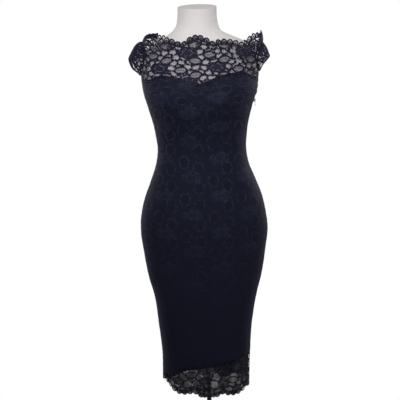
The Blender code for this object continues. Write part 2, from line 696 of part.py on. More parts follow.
def zip_pull(name, collection, finish):
    """The pull tab, hanging plumb: a flat plate with an eye at its top, whose bar is in the crown."""
    def rounded(half_wide, top, bottom, radius):
        points = []
        for x, y, start in ((half_wide - radius, top - radius, 0), (radius - half_wide, top - radius, 90),
                            (radius - half_wide, bottom + radius, 180),
                            (half_wide - radius, bottom + radius, 270)):
            for step in range(4):
                turn = math.radians(start + 30 * step)
                points.append((x + radius * math.cos(turn), y + radius * math.sin(turn)))
        return points

    curve = bpy.data.curves.new(name, "CURVE")
    curve.dimensions = "2D"
    curve.fill_mode = "BOTH"
    curve.extrude = PULL_THICK / 2
    top = PULL_BAR / 2
    outer = rounded(PULL_WIDTH / 2, top, top - PULL_LENGTH, 0.5 * MM)
    outer = [(x * (0.84 + 0.16 * min(1.0, -y / (10 * MM))) if y < 0 else x * 0.84, y) for x, y in outer]
    eye = rounded(PULL_EYE_WIDTH / 2, -PULL_BAR / 2, -PULL_BAR / 2 - PULL_EYE_LENGTH, 0.4 * MM)
    for loop in (outer, eye):
        spline = curve.splines.new("POLY")
        spline.points.add(len(loop) - 1)
        for point, (x, y) in zip(spline.points, loop):
            point.co = (x, y, 0, 1)
        spline.use_cyclic_u = True
    drawn = bpy.data.objects.new(name + "_drawn", curve)
    collection.objects.link(drawn)
    graph = bpy.context.evaluated_depsgraph_get()
    mesh = bpy.data.meshes.new_from_object(drawn.evaluated_get(graph))
    bpy.data.objects.remove(drawn)
    bm = bmesh.new()
    bm.from_mesh(mesh)
    bmesh.ops.remove_doubles(bm, verts=bm.verts, dist=1e-6)
    upright = Matrix(((0, 0, 1, 0), (1, 0, 0, 0), (0, 1, 0, 0), (0, 0, 0, 1)))
    bm.transform(upright)
    bm.to_mesh(mesh)
    bm.free()
    made = add_object(name, mesh, collection, finish)
    made.location = pull_pivot()
    return made


def turned(name, profile, collection, finish):
    """A round piece from its profile of radius and height, from the top down its outer side."""
    mesh = bpy.data.meshes.new(name)
    mesh.from_pydata([(r, 0, z) for r, z in profile], pairs(range(len(profile))), [])
    made = add_object(name, mesh, collection, finish)
    screw = made.modifiers.new("Turned", "SCREW")
    screw.steps = screw.render_steps = 32
    screw.use_merge_vertices = True
    screw.merge_threshold = 0.00001
    screw.use_smooth_shade = True
    return made


def pole(name, collection, finish):
    low, high = BASE_THICK + BOSS_HEIGHT + REST_GAP, FORM_UNDERSIDE - REST_GAP
    return turned(name, [(0, high), (POLE_RADIUS, high), (POLE_RADIUS, low), (0, low)], collection, finish)


def base(name, collection, finish):
    """The round foot: a flat plate with a rounded rim, and a boss that the pole stands in."""
    top = BASE_THICK + BOSS_HEIGHT
    rim = [(BASE_RADIUS - BASE_ROUND * (1 - math.sin(t)), BASE_THICK - BASE_ROUND * (1 - math.cos(t)))
           for t in (math.radians(d) for d in range(0, 91, 45))]
    profile = [(0, top), (BOSS_RADIUS - 5 * MM, top), (BOSS_RADIUS - 3 * MM, top - 2 * MM),
               (BOSS_RADIUS, BASE_THICK + 3 * MM), (BOSS_RADIUS + 3 * MM, BASE_THICK), *rim,
               (BASE_RADIUS, 1 * MM), (BASE_RADIUS - 1 * MM, 0), (0, 0)]
    return turned(name, profile, collection, finish)


def main():
    for made in list(bpy.data.objects):
        bpy.data.objects.remove(made)
    garment = bpy.data.collections.new("Cocktail dress on a dress form")
    cutters = bpy.data.collections.new("Cutters")
    bpy.context.scene.collection.children.link(garment)
    bpy.context.scene.collection.children.link(cutters)

    lace = material("Navy corded lace", (0.012, 0.013, 0.032), 0.75)
    lining = material("Navy jersey lining", (0.008, 0.009, 0.020), 0.6)
    dark_nylon = material("Dark zip coil", (0.010, 0.010, 0.018), 0.5)
    silver = material("Silver zip metal", (0.72, 0.71, 0.68), 0.3, 1.0)
    linen = material("Pale grey form jersey", (0.64, 0.62, 0.62), 0.8)
    black_steel = material("Black lacquered steel", (0.015, 0.015, 0.017), 0.35)

    lace_panel("lace_front", FRONT, garment, lace)
    lace_panel("lace_back", BACK, garment, lace)
    sleeve("sleeve_left", SIDES["left"], garment, lace)
    sleeve("sleeve_right", SIDES["right"], garment, lace)
    lining_panel("lining_front", FRONT, garment, lining)
    lining_panel("lining_back", BACK, garment, lining)
    zip_chain("zip_chain", garment, dark_nylon)
    zip_slider("zip_slider", garment, cutters, silver)
    zip_pull("zip_pull", garment, silver)
    dress_form("form_torso", garment, linen)
    pole("stand_pole", garment, black_steel)
    base("stand_base", garment, black_steel)


main()
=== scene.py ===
"""A fitted cocktail dress of navy corded lace over a jersey lining, on a limbless dress form with a round
stand. Metres, +Z up, the front towards -Y and the wearer's left, which has the zip, towards +X."""

import math

import bpy
import numpy as np
from mathutils import Matrix, Vector


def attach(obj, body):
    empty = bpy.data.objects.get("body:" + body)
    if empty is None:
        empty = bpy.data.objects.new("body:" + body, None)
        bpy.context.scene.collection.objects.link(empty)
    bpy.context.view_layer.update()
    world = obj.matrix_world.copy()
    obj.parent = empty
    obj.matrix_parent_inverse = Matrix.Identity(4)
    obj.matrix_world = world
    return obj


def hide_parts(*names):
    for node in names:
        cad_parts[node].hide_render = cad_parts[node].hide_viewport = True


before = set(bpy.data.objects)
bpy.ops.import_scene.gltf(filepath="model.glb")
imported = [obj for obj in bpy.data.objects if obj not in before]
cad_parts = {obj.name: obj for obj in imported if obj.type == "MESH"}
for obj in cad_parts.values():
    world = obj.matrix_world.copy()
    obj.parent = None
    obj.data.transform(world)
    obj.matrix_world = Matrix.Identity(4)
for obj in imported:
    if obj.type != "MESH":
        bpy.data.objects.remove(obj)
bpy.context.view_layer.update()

MM = 0.001
PI = math.pi

# The body line: height, reach to the wearer's right and left, depth of front and back, squareness of each.
BODY_SECTIONS = (
    (350, 127.5, 113.0, 94, 95, 2.70, 2.50),
    (395, 127.0, 114.0, 95, 96, 2.70, 2.50),
    (475, 126.0, 118.0, 96, 97, 2.65, 2.50),
    (550, 132.5, 124.5, 97, 100, 2.60, 2.45),
    (630, 141.0, 139.0, 100, 106, 2.50, 2.40),
    (700, 157.5, 157.0, 103, 114, 2.40, 2.40),
    (760, 166.0, 166.5, 106, 121, 2.35, 2.40),
    (820, 172.0, 174.5, 109, 128, 2.30, 2.40),
    (862, 169.0, 170.5, 108, 128, 2.30, 2.40),
    (905, 159.0, 162.0, 105, 121, 2.25, 2.35),
    (950, 142.0, 146.0, 99, 107, 2.20, 2.30),
    (1000, 124.0, 126.0, 91, 90, 2.20, 2.30),
    (1040, 117.0, 119.5, 87, 83, 2.20, 2.30),
    (1080, 119.5, 121.5, 92, 86, 2.20, 2.30),
    (1120, 127.0, 128.0, 104, 93, 2.30, 2.30),
    (1160, 137.5, 138.5, 119, 101, 2.45, 2.30),
    (1200, 148.5, 151.0, 123, 107, 2.50, 2.30),
    (1240, 153.5, 156.5, 115, 109, 2.35, 2.30),
)
DRESS_SHOULDER_SECTIONS = (
    (1270, 154.5, 161.5, 102, 106, 2.25, 2.25),
    (1300, 153.0, 168.0, 89, 99, 2.20, 2.20),
    (1322, 150.0, 171.5, 78, 91, 2.20, 2.20),
    (1342, 145.0, 171.5, 68, 80, 2.20, 2.20),
    (1360, 133.0, 167.0, 58, 65, 2.20, 2.20),
    (1378, 118.0, 160.0, 53, 57, 2.20, 2.20),
)
FORM_SHOULDER_SECTIONS = (
    (1270, 154.0, 156.0, 102, 105, 2.25, 2.25),
    (1300, 147.0, 148.5, 89, 98, 2.20, 2.20),
    (1320, 131.0, 137.0, 79, 89, 2.20, 2.20),
    (1335, 109.0, 119.5, 71, 80, 2.20, 2.20),
    (1349, 88.0, 88.5, 63, 70, 2.10, 2.10),
    (1361, 71.0, 64.5, 57, 62, 2.00, 2.00),
    (1375, 59.0, 56.5, 53, 56, 2.00, 2.00),
    (1395, 54.0, 53.0, 50, 52, 2.00, 2.00),
    (1426, 52.0, 52.3, 49, 50, 2.00, 2.00),
)
BUST_FULLNESS, BUST_HEIGHT, BUST_TALL = 7 * MM, 1192 * MM, 42 * MM
BUST_TURN, BUST_WIDE = math.radians(30), math.radians(17)
BUST_HOLLOW = 4 * MM
NECK_TILT_FROM, NECK_TILT = 1375 * MM, 0.17
FORM_TOP, FORM_TURNS = 1426 * MM, 96
FORM_EDGE = ((812, 8), (812.4, 6.6), (814, 4), (818, 1.4), (824, 0))  # height, and how far it is drawn in

LINING_INSIDE, LINING_WALL = 0.4 * MM, 0.6 * MM
LACE_INSIDE, LACE_WALL = 1.75 * MM, 0.7 * MM

# The repeat of the lace, in millimetres.
FLOWER_STEP, FLOWER_SHIFT = 76.0, -29.0
FLOWER_WIDTH, FLOWER_HEIGHT, PETALS = 50.0, 29.0, 7
LEAF_WIDTH, LEAF_HEIGHT = 35.0, 18.5
OVAL_WIDTH, OVAL_HEIGHT = 25.0, 31.0
LEAVES = ((20, -27, -6), (20, 25, 9), (58, -8, 3))  # across, up, tilt in degrees
PATTERN_HEIGHT, ROW_ABOVE, ROW_BELOW = 1075.0, 38.4, 49.3
# The openings of the ground: how wide, how high, where their unevenness starts, how rough, how flat.
CELLS = {
    "yoke": (21.76, 13.34, 0.0, 1.1, 1.16),
    "hem": (24.65, 21.025, 0.0, 0.8, 1.0),
    "sleeve": (11.65, 12.3, 2.0, 1.0, 1.0),
}
SCALLOP, SCALLOP_RISE = 76.0, 13.0
PICOT, PICOT_RISE, BORDER_BAND = 15.2, 3.5, 10.5

NECK_HEIGHT, NECK_LIFT, BACK_NECK_HEIGHT = 1332.0, 15.0, 1328.0
HEM_HEIGHT = 362.0
# How the worn edges are set above their lines: the way round from the panel's middle and the rise.
NECK_SET = ((-185, 0), (-172, -9), (-160, -17), (-145, -16), (-130, -10), (-112, -3), (-95, -3), (-80, -3),
            (-68, -7), (-50, -10), (-36, -3), (-20, 2), (0, 3), (30, -4), (60, -9), (80, -12), (120, -12),
            (132, -17), (145, -22), (160, -24), (172, -22), (184, -12), (193, 0))
BACK_NECK_SET = ((-185, 0), (-160, -4), (-148, -7), (-138, -12), (-60, -11), (0, -4), (45, -5), (60, -8),
                 (78, -3), (92, 4), (110, 13), (120, 14), (132, 9), (146, 2), (165, -2), (190, -3))
HEM_SET = ((-190, 18), (-170, 25), (-150, 35), (-138, 36), (-128, 31), (-119, 21), (-109, 12), (-90, 7),
           (-50, 5), (-38, -1), (-20, -5), (0, -7), (20, -5), (60, -2), (100, 1), (125, 4), (190, 5))
LINING_TOP = ((-190, 1236), (-140, 1240), (-105, 1251), (-62, 1246), (-22, 1232), (0, 1226), (22, 1233),
              (48, 1244), (80, 1251), (115, 1254), (150, 1243), (190, 1236))
LINING_HEM = ((-200, 402), (-110, 412), (-60, 440), (0, 447), (60, 452), (90, 464), (130, 474), (200, 478))
BACK_LINING_TOP = 1236.0
ARMHOLE_TURN = math.radians(25)
CUFF_TURNS = (0, 45, 90, 135, 168)
SIDES = {
    "left": {"angle": 0.0, "out": 1, "middle": 1287 * MM, "rise": 41 * MM, "drop": 0.85,
             "cuff": ((188, 0, 1299), (190, 33, 1291), (181, 52, 1280), (168, 42, 1264), (162.5, 13, 1249))},
    "right": {"angle": PI, "out": -1, "middle": 1291 * MM, "rise": 46 * MM, "drop": 0.5,
              "cuff": ((186, 0, 1303), (186, 40, 1292), (177, 57, 1270), (162, 43, 1255), (157, 13, 1247))},
}
# Each sleeve's flowers (way, height, size) and leaves (way, height, tilt in degrees), front ways positive.
SLEEVE_FLOWERS = {
    "left": ((-58, 18, 1.0), (8, 24, 0.85), (96, 30, 0.75), (-138, 22, 0.8), (138, 22, 0.8)),
    "right": ((54, 17, 1.15), (-2, 13, 0.95), (-56, 22, 1.0), (-138, 22, 0.8), (138, 22, 0.8)),
}
SLEEVE_LEAVES = {
    "left": ((56, 12, 10), (34, 34, -30), (-20, 10, 20), (-92, 16, -50), (112, 10, 30)),
    "right": ((102, 13, 12), (26, 35, -8), (92, 33, 30), (-92, 16, -50), (-112, 34, -20)),
}
SLEEVE_PUFF = 14 * MM
SLEEVE_END = math.radians(152)
SLEEVE_FLAT_TURN, SLEEVE_FLAT_LENGTH = 58.0, 44.0
SLEEVE_SEAM_GAP, SLEEVE_SEAM_REACH = 0.4 * MM, 105 * MM
CUFF_FROM, CUFF_TO = 35.5, 44.6
LINING_LAP = 9.0
PANEL_REACH = 250.0
ZIP_BOTTOM, ZIP_SLIDER, ZIP_TOP = 960.0, 1178.0, 1246.0
ZIP_GAP, ZIP_SPREAD, TOOTH_PITCH = 2.4, 4.5, 1.3
TAPE_CUT, TAPE_SEEN = 10.5 * MM, 9.5 * MM


# Surfaces


def bust(angle, height):
    """How far the front stands out for the bust, with a shallow hollow between its two sides."""
    level = np.exp(-(((height - BUST_HEIGHT) / BUST_TALL) ** 2))
    turn = (angle - FRONT + PI) % (2 * PI) - PI
    full = sum(np.exp(-(((turn - side * BUST_TURN) / BUST_WIDE) ** 2)) for side in (-1, 1))
    return level * (BUST_FULLNESS * full - BUST_HOLLOW * np.exp(-((turn / BUST_WIDE) ** 2)))


def smooth_read(knots, rows, slopes, place):
    """Reads a table along a smooth curve through its rows."""
    low = np.clip(np.searchsorted(knots, place, side="right") - 1, 0, len(knots) - 2)
    span = (knots[low + 1] - knots[low])[..., None]
    t = np.clip((place - knots[low])[..., None] / span, 0, 1)
    ends = rows[low] * (1 + 2 * t) * (1 - t) ** 2 + rows[low + 1] * t * t * (3 - 2 * t)
    return ends + span * (slopes[low] * t * (1 - t) ** 2 - slopes[low + 1] * t * t * (1 - t))


def unit(vectors):
    return vectors / np.maximum(np.linalg.norm(vectors, axis=-1, keepdims=True), 1e-12)


class Skin:
    """The sections as one smooth surface, read at any angle and height, at any distance outside."""

    def __init__(self, sections):
        table = np.array(sections, float)
        self.heights = table[:, 0] * MM
        self.rows = np.hstack([table[:, 1:5] * MM, table[:, 5:7]])
        self.slopes = np.gradient(self.rows, self.heights, axis=0)

    def ring(self, angle, height):
        angle, height = np.broadcast_arrays(np.asarray(angle, float), np.asarray(height, float))
        read = smooth_read(self.heights, self.rows, self.slopes, height)
        right, left, front, back, front_square, back_square = np.moveaxis(read, -1, 0)
        cosine, sine = np.cos(angle), np.sin(angle)
        side = np.where(cosine > 0, left, right)
        depth = np.where(sine > 0, back, front)
        square = np.where(sine > 0, back_square, front_square)
        size = (abs(cosine) ** square + abs(sine) ** square) ** (-1 / square)
        return np.stack([size * side * cosine, size * depth * sine - bust(angle, height), height], -1)

    def at(self, angle, height, outside=0.0):
        step = 2e-3
        around = self.ring(angle + step, height) - self.ring(angle - step, height)
        up = self.ring(angle, height + step) - self.ring(angle, height - step)
        return self.ring(angle, height) + unit(np.cross(around, up)) * np.asarray(outside)[..., None]


FRONT, BACK = 1.5 * PI, 0.5 * PI
DRESS = Skin(BODY_SECTIONS + DRESS_SHOULDER_SECTIONS)
FORM = Skin(BODY_SECTIONS + FORM_SHOULDER_SECTIONS)


class Panel:
    """The front or the back laid flat, in millimetres: the way round from its middle, and the height."""

    LOW, STEP_UP, WIDE, STEP_ACROSS, MIDDLE_TURN = 345.0, 4.0, 270.0, 2.0, 114

    def __init__(self, middle):
        self.middle = middle
        self.front = middle == FRONT
        self.turns = middle + np.linspace(-0.57, 0.57, 2 * self.MIDDLE_TURN + 1) * PI
        heights = np.arange(self.LOW, 1395.0, self.STEP_UP)
        rings = DRESS.ring(self.turns[None], heights[:, None] * MM)
        steps = np.linalg.norm(np.diff(rings, axis=1), axis=2) / MM
        ways = np.pad(np.cumsum(steps, axis=1), ((0, 0), (1, 0)))
        self.ways = ways - ways[:, [self.MIDDLE_TURN]]
        grid = np.arange(-self.WIDE, self.WIDE + 1, self.STEP_ACROSS)
        self.angles = np.array([np.interp(grid, row, self.turns) for row in self.ways])
        self.ends = np.array([np.interp(middle + np.array((-0.5, 0.5)) * PI, self.turns, row)
                              for row in self.ways])
        self.heights = heights

    def angle(self, way, height):
        """The angle at a place, read from the table of ways."""
        row = np.clip((height - self.LOW) / self.STEP_UP, 0, len(self.heights) - 1.001)
        column = np.clip((way + self.WIDE) / self.STEP_ACROSS, 0, self.angles.shape[1] - 1.001)
        i, j = row.astype(int), column.astype(int)
        a, b = row - i, column - j
        low = self.angles[i, j] * (1 - b) + self.angles[i, j + 1] * b
        high = self.angles[i + 1, j] * (1 - b) + self.angles[i + 1, j + 1] * b
        return low * (1 - a) + high * a

    def way_at(self, angle, height):
        """How far round a given height an angle lies."""
        row = self.ways[int(round((height - self.LOW) / self.STEP_UP))]
        return np.interp(angle, self.turns, row)

    def to_seams(self, way, height):
        """How far inside its two side seams a place lies: from the one at the lower angle and the other."""
        first = np.interp(height, self.heights, self.ends[:, 0])
        last = np.interp(height, self.heights, self.ends[:, 1])
        return way - first, last - way

    def place(self, way, height, outside):
        return DRESS.at(self.angle(way, height), height * MM, outside * MM)


# The drawing of the lace. Everything here is in millimetres, and positive inside what it names.


def ellipse(x, y, wide, high):
    """Roughly how deep a place lies inside an ellipse."""
    q = np.hypot(x / wide, y / high) + 1e-3
    return (1 - q) * q / (np.hypot(x / wide ** 2, y / high ** 2) + 1e-6)


def leaf_shape(x, y, wide, high):
    """Roughly how deep a place lies inside a leaf with two pointed ends."""
    edge = high * (1 - abs(x / wide) ** 2.3)
    slope = 2.3 * high / wide * abs(x / wide) ** 1.3
    return (edge - abs(y)) / np.sqrt(1 + slope ** 2)


def bump(distance, half_width):
    """1 on a line and 0 past its half width, rounded between."""
    return np.clip(1 - (distance / half_width) ** 2, 0, 1)


class Drawing:
    """Flowers and leaves at a set of places: how deep in each, and where in the nearest one."""

    def __init__(self, way, height):
        self.upright = (height > 490) & (height < 1170)
        self.flower, self.leaf = np.full(way.shape, -99.0), np.full(way.shape, -99.0)
        self.petal, self.rib, self.halo = (np.zeros(way.shape) for _ in range(3))

    def add_repeat(self, way, height):
        """The rows of flowers with their leaves, every other row shifted by one place."""
        scale = np.where(height > PATTERN_HEIGHT, ROW_ABOVE, ROW_BELOW)
        row = (height - PATTERN_HEIGHT) / scale
        for parity in (0, 1):
            k = 2 * np.round((row - parity) / 2) + parity
            up = (row - k) * scale
            across = way - FLOWER_SHIFT - FLOWER_STEP * parity
            across = across - 2 * FLOWER_STEP * np.round(across / (2 * FLOWER_STEP))
            self.add_flower(across, up, parity)
            for x, y, tilt in LEAVES:
                self.add_leaf(across - x, up - y * scale / ROW_BELOW, math.radians(tilt))

    def add_flower(self, x, y, parity, size=1.0):
        wide, high = FLOWER_WIDTH / 2 * size, FLOWER_HEIGHT / 2 * size
        turn = np.arctan2(y / high, x / wide) + (0.35 if parity else 0.0)
        lobes = 1 + 0.09 * np.cos(PETALS * turn)
        deep = ellipse(x, y, wide * lobes, high * lobes)
        nearer = deep > self.flower
        share = np.hypot(x / wide, y / high) / lobes
        petal = 5.0 * np.sin(PETALS * turn / 2) * np.clip(share, 0, 1)
        inner = 11.0 * (share - 0.52 - 0.06 * np.cos(PETALS * turn + 1.5))
        petal = np.where(share > 0.5, petal, inner)
        self.petal = np.where(nearer, np.where(abs(inner) < abs(petal), inner, petal), self.petal)
        beads = np.clip(np.cos(26 * turn), 0, 1) * bump(share - 1.14, 0.1) * (y < 0)
        self.halo = np.maximum(self.halo, beads)
        self.flower = np.maximum(self.flower, deep)

    def add_leaf(self, x, y, tilt, size=1.0):
        """A leaf, which is an upright oval where the lace is drawn tight over the body."""
        u = x * math.cos(tilt) + y * math.sin(tilt)
        v = y * math.cos(tilt) - x * math.sin(tilt)
        deep = leaf_shape(u, v, LEAF_WIDTH / 2 * size, LEAF_HEIGHT / 2 * size)
        deep = np.where(self.upright, ellipse(u, v, OVAL_WIDTH / 2, OVAL_HEIGHT / 2), deep)
        ribs = 4.2 * np.sin(v * PI / 5.6) + 0.4 * np.sin(u * 0.4)
        self.rib = np.where(deep > self.leaf, ribs, self.rib)
        self.leaf = np.maximum(self.leaf, deep)


def ground_cells(way, height, across, up, seed, rough, flat):
    """How far a place lies from the bars between the openings of the ground, and the ticks on them."""
    seeds = []
    for dr in (-1, 0, 1):
        row = np.round(height / up) + dr
        shift = across / 2 * (row % 2)
        middle = np.round((way - shift) / across)
        for dc in (-1, 0, 1):
            column = middle + dc
            x = column * across + shift + 3.9 * np.sin(column * 12.9 + row * 7.7 + seed)
            y = row * up + 3.0 * np.sin(column * 5.3 + row * 9.1 + 1 + seed)
            seeds.append((x, y))
    x, y = (np.array([s[k] for s in seeds]) for k in (0, 1))
    uneven = 0.9 * np.sin(way * 0.29 + seed) * np.sin(height * 0.37 + 2 * np.sin(way * 0.11))
    knots = np.clip(np.sin(way * 0.83 + 2.3 * np.sin(height * 0.31)), 0, 1)
    knots = 1.7 * rough * (knots * np.clip(np.sin(height * 0.97 + 2.1 * np.sin(way * 0.27)), 0, 1)) ** 2
    shaken = 1.3 * np.sin(height * 0.95 + np.sin(way * 0.6) * 2) + 0.7 * np.sin(height * 2.1 + way)
    lifted = 1.2 * np.sin(way * 0.85 + np.sin(height * 0.7) * 2) + 0.6 * np.sin(way * 1.9 - height)
    way, x = (way + rough * shaken) * 0.92 / flat, x * 0.92 / flat
    height, y = (height + rough * lifted) * 1.12 * flat, y * 1.12 * flat
    square = (way - x) ** 2 + (height - y) ** 2
    own = np.argmin(square, axis=0)[None]
    mine = np.take_along_axis(square, own, 0)
    own_x, own_y = np.take_along_axis(x, own, 0), np.take_along_axis(y, own, 0)
    apart = np.hypot(x - own_x, y - own_y)
    edge = np.where(apart < 1e-6, 99.0, (square - mine) / (2 * np.maximum(apart, 1e-6)))
    smooth = -np.log(np.sum(np.exp(-1.1 * edge), axis=0)) / 1.1
    turn = np.arctan2(height - own_y[0], way - own_x[0])
    spin = own_x[0] * 0.9 + own_y[0] * 1.7
    ticks = np.clip(np.cos(4 * turn + spin), 0, 1) ** 10
    ticks += 0.7 * np.clip(np.cos(3 * turn - 2 * spin), 0, 1) ** 14
    return smooth + uneven, 2.2 * ticks * rough + knots


def scallop_line(way):
    """The rise of a scalloped edge above its valleys."""
    return SCALLOP_RISE * (np.cos(PI * way / SCALLOP) ** 2 + 0.02) ** 0.35


class Border:
    """The edge of the lace: picot loops with a dot, a band with crescents, and a row of small rings.

    Where plain is 1, by the shoulders, the loops lie flat against each other in a close band."""

    def __init__(self, way, below, plain):
        loop = (np.round(way / PICOT - 0.5) + 0.5) * PICOT
        drop = below - scallop_line(way) + scallop_line(loop) - 4.1
        around = np.hypot(way - loop, drop)
        dot = np.hypot(way - loop, drop - 1.2)
        band = below - 6.4 + 8.4 * plain
        self.solid = np.maximum(band, PICOT / 2 - around)
        self.net = ((around < 4.7) & (dot > 2.1) & (plain < 0.5)).astype(float)
        self.cord = np.maximum(bump(around - 6.1, 1.6), bump(dot, 2.1))
        half = SCALLOP / 2
        crescent = (np.round(way / half - 0.5) + 0.5) * half
        arc = 2.3 * np.sqrt(bump(way - crescent, 13.5)) - abs(below - 12.6)
        arc = np.where(abs(way - crescent) < 13.5, arc, -3.0)
        self.net = np.maximum(self.net, (arc > 0) & (around > PICOT / 2))
        self.cord = np.maximum(self.cord, bump(arc + 0.6, 1.3))
        small = np.hypot(way - half * np.round(way / half), below - 22.5)
        self.ring = 5.4 - small
        self.net = np.where(small < 3.6, (small > 1.3).astype(float), self.net)
        self.cord = np.maximum(self.cord, np.maximum(bump(small - 4.4, 1.1), bump(small, 1.4)))
        self.band = (below < BORDER_BAND) & (below > -20)
        self.dense = np.clip((BORDER_BAND - below) / 2.0, -1, 1) * 3.0


def lace_drawing(way, height, border, cells, drawing):
    """Puts ground, flowers, leaves and border together."""
    gap, ticks = cells
    bars = 1.18 + ticks - gap
    solid = np.maximum(bars, np.maximum(drawing.flower, drawing.leaf + 1.4))
    dashes = np.sin(way * 0.9 + height * 1.3) > -0.6
    wide = 0.75 + 0.4 * (height > BACK_LINING_TOP)
    slits = (drawing.flower > 1.6) & (abs(drawing.petal) < wide) & dashes
    net = (((drawing.leaf > 1.5) & (drawing.flower < 0)) | slits).astype(float)
    outline = 0.8 * bump(drawing.flower, 1.5)
    cord = np.maximum(bump(drawing.leaf - 0.1, 1.9), 0.5 * bump(gap, 1.9))
    cord = np.maximum(cord, np.maximum(outline, drawing.halo))
    cord = np.maximum(cord, np.where(drawing.leaf > 0, 0.75 * bump(drawing.rib, 1.5), 0))
    petals = np.maximum(outline, 0.55 * bump(abs(drawing.petal) - 1.5, 1.2))
    cord = np.where(drawing.flower > 0, petals, cord)
    if border is not None:
        edging = border.band | (border.ring > 0)
        solid = np.maximum(solid, np.maximum(border.dense, border.ring))
        solid = np.where(border.band, border.solid, solid)
        net, cord = np.where(edging, border.net, net), np.where(edging, border.cord, cord)
    return solid, net, cord


def march(solid, ways, heights):
    """The part of a grid where solid is positive, as flat points and triangles."""
    number = np.arange(solid.size).reshape(solid.shape)
    a, b, c, d = (x.ravel() for x in (number[:-1, :-1], number[:-1, 1:], number[1:, 1:], number[1:, :-1]))
    corners = np.concatenate([np.stack([a, b, c], 1), np.stack([a, c, d], 1)])
    level = solid.ravel()
    inside = level[corners] > 0
    count = inside.sum(1)
    turned = []
    for kind in (1, 2):
        first = np.argmax(inside[count == kind] == (kind == 1), 1)
        order = (first[:, None] + np.arange(3)) % 3
        turned.append(np.take_along_axis(corners[count == kind], order, 1))
    edges = np.concatenate([t[:, (0, k)] for t in turned for k in (1, 2)])
    unique, back = np.unique(np.sort(edges, 1), axis=0, return_inverse=True)
    sizes = np.cumsum([len(t) for t in turned for _ in (1, 2)])[:-1]
    one_a, one_b, two_a, two_b = np.split(back.reshape(-1) + level.size, sizes)
    (tip, _, _), (_, near, far) = (t.T for t in turned)
    cut = ((tip, one_a, one_b), (two_a, near, far), (two_a, far, two_b))
    share = level[unique[:, 0]] / (level[unique[:, 0]] - level[unique[:, 1]])
    share = np.clip(share, 0.08, 0.92)[:, None]
    grid = np.stack(np.meshgrid(ways, heights), -1).reshape(-1, 2)
    points = np.concatenate([grid, grid[unique[:, 0]] * (1 - share) + grid[unique[:, 1]] * share])
    faces = np.concatenate([corners[count == 3]] + [np.stack(corner, 1) for corner in cut])
    used, faces = np.unique(faces, return_inverse=True)
    return points[used], faces.reshape(-1, 3)


# Making pieces


def mesh_piece(name, points, faces, finish, attributes=None):
    mesh = bpy.data.meshes.new(name)
    mesh.from_pydata(points.tolist(), [], faces if isinstance(faces, list) else faces.tolist())
    for key, values in (attributes or {}).items():
        layer = mesh.attributes.new(key, "FLOAT_VECTOR", "POINT")
        layer.data.foreach_set("vector", np.ascontiguousarray(values, np.float32).ravel())
    mesh.shade_smooth()
    mesh.materials.append(finish)
    made = bpy.data.objects.new(name, mesh)
    bpy.context.scene.collection.objects.link(made)
    return made


def place_attribute(way, height, sheer):
    return {"cloth_place": np.stack([way, height, np.full(len(way), sheer)], 1)}


def lace_attributes(way, height, sheer, net, cord, drawing):
    """What the lace's material reads at every point."""
    motifs = np.stack([drawing.flower, drawing.leaf, drawing.petal], 1)
    threads = np.stack([net, cord, drawing.rib], 1)
    return {**place_attribute(way, height, sheer), "motif_depth": motifs, "thread_kind": threads}


def area_of(points, faces):
    a, b, c = (points[faces[:, k]] for k in range(3))
    return float(np.linalg.norm(np.cross(b - a, c - a), axis=1).sum() / 2)


def flat_cut(points, faces, worn=None):
    """The size and the net area of a flat cut, in metres, scaled to the worn cloth where that is given."""
    flat = np.pad(points * MM, ((0, 0), (0, 1)))
    area = area_of(flat, faces)
    share = 1.0 if worn is None else math.sqrt(area_of(worn, faces) / area)
    wide, long, _ = (flat.max(0) - flat.min(0)) * share
    return {"flat": (float(wide), float(long)), "area": area * share * share}


def give_wall(piece, thickness):
    solidify = piece.modifiers.new("Cloth thickness", "SOLIDIFY")
    solidify.thickness = thickness
    solidify.offset = 1
    solidify.use_even_offset = False
    return piece


def drop_specks(points, faces, least=40):
    """Leaves out islands of fewer faces than the least."""
    group = np.arange(len(points))
    while True:
        low = group[faces].min(1)
        new = group.copy()
        for k in range(3):
            np.minimum.at(new, faces[:, k], low)
        new = new[new]
        if (new == group).all():
            break
        group = new
    counts = np.bincount(group[faces[:, 0]], minlength=len(points))
    kept = faces[counts[group[faces[:, 0]]] >= least]
    used, kept = np.unique(kept, return_inverse=True)
    return points[used], kept.reshape(-1, 3)


def zip_spread(height):
    """How far open the zip stands at a height: 0 up to its slider, 1 at the armhole."""
    return np.clip((height - ZIP_SLIDER) / (ZIP_TOP - ZIP_SLIDER), 0, 1)


def panel_edge(panel, way, height):
    """How deep a place lies inside the panel's seams and armholes, in millimetres."""
    names = ("right", "left") if panel.front else ("left", "right")
    turned = panel.angle(way, height) - panel.middle
    deep = np.full(way.shape, 99.0)
    turns = (PI / 2 + turned, PI / 2 - turned)
    for name, inside, turn in zip(names, panel.to_seams(way, height), turns):
        middle, rise = SIDES[name]["middle"] / MM, SIDES[name]["rise"] / MM
        gap = 0.0
        if name == "left":
            gap = ZIP_GAP / 2 + (ZIP_SPREAD - ZIP_GAP / 2) * zip_spread(height)
            gap = np.where((height > ZIP_BOTTOM) & (height <= middle), gap, 0.0)
        wide = ARMHOLE_TURN * np.clip(inside, 1, None) / np.clip(turn, 0.01, None)
        hole = ellipse(inside, height - middle, wide, rise)
        deep = np.minimum(deep, np.minimum(inside - gap, -hole))
    return deep


def table_read(table, way):
    ways, heights = np.array(table, float).T
    return np.interp(way, ways, heights)


def lining_top(panel, angle):
    if not panel.front:
        return np.full(np.shape(angle), BACK_LINING_TOP)
    return table_read(LINING_TOP, panel.way_at(angle, 1240.0))


def lining_hem(panel, angle):
    way = panel.way_at(angle, 430.0)
    return table_read(LINING_HEM, way if panel.front else -way)


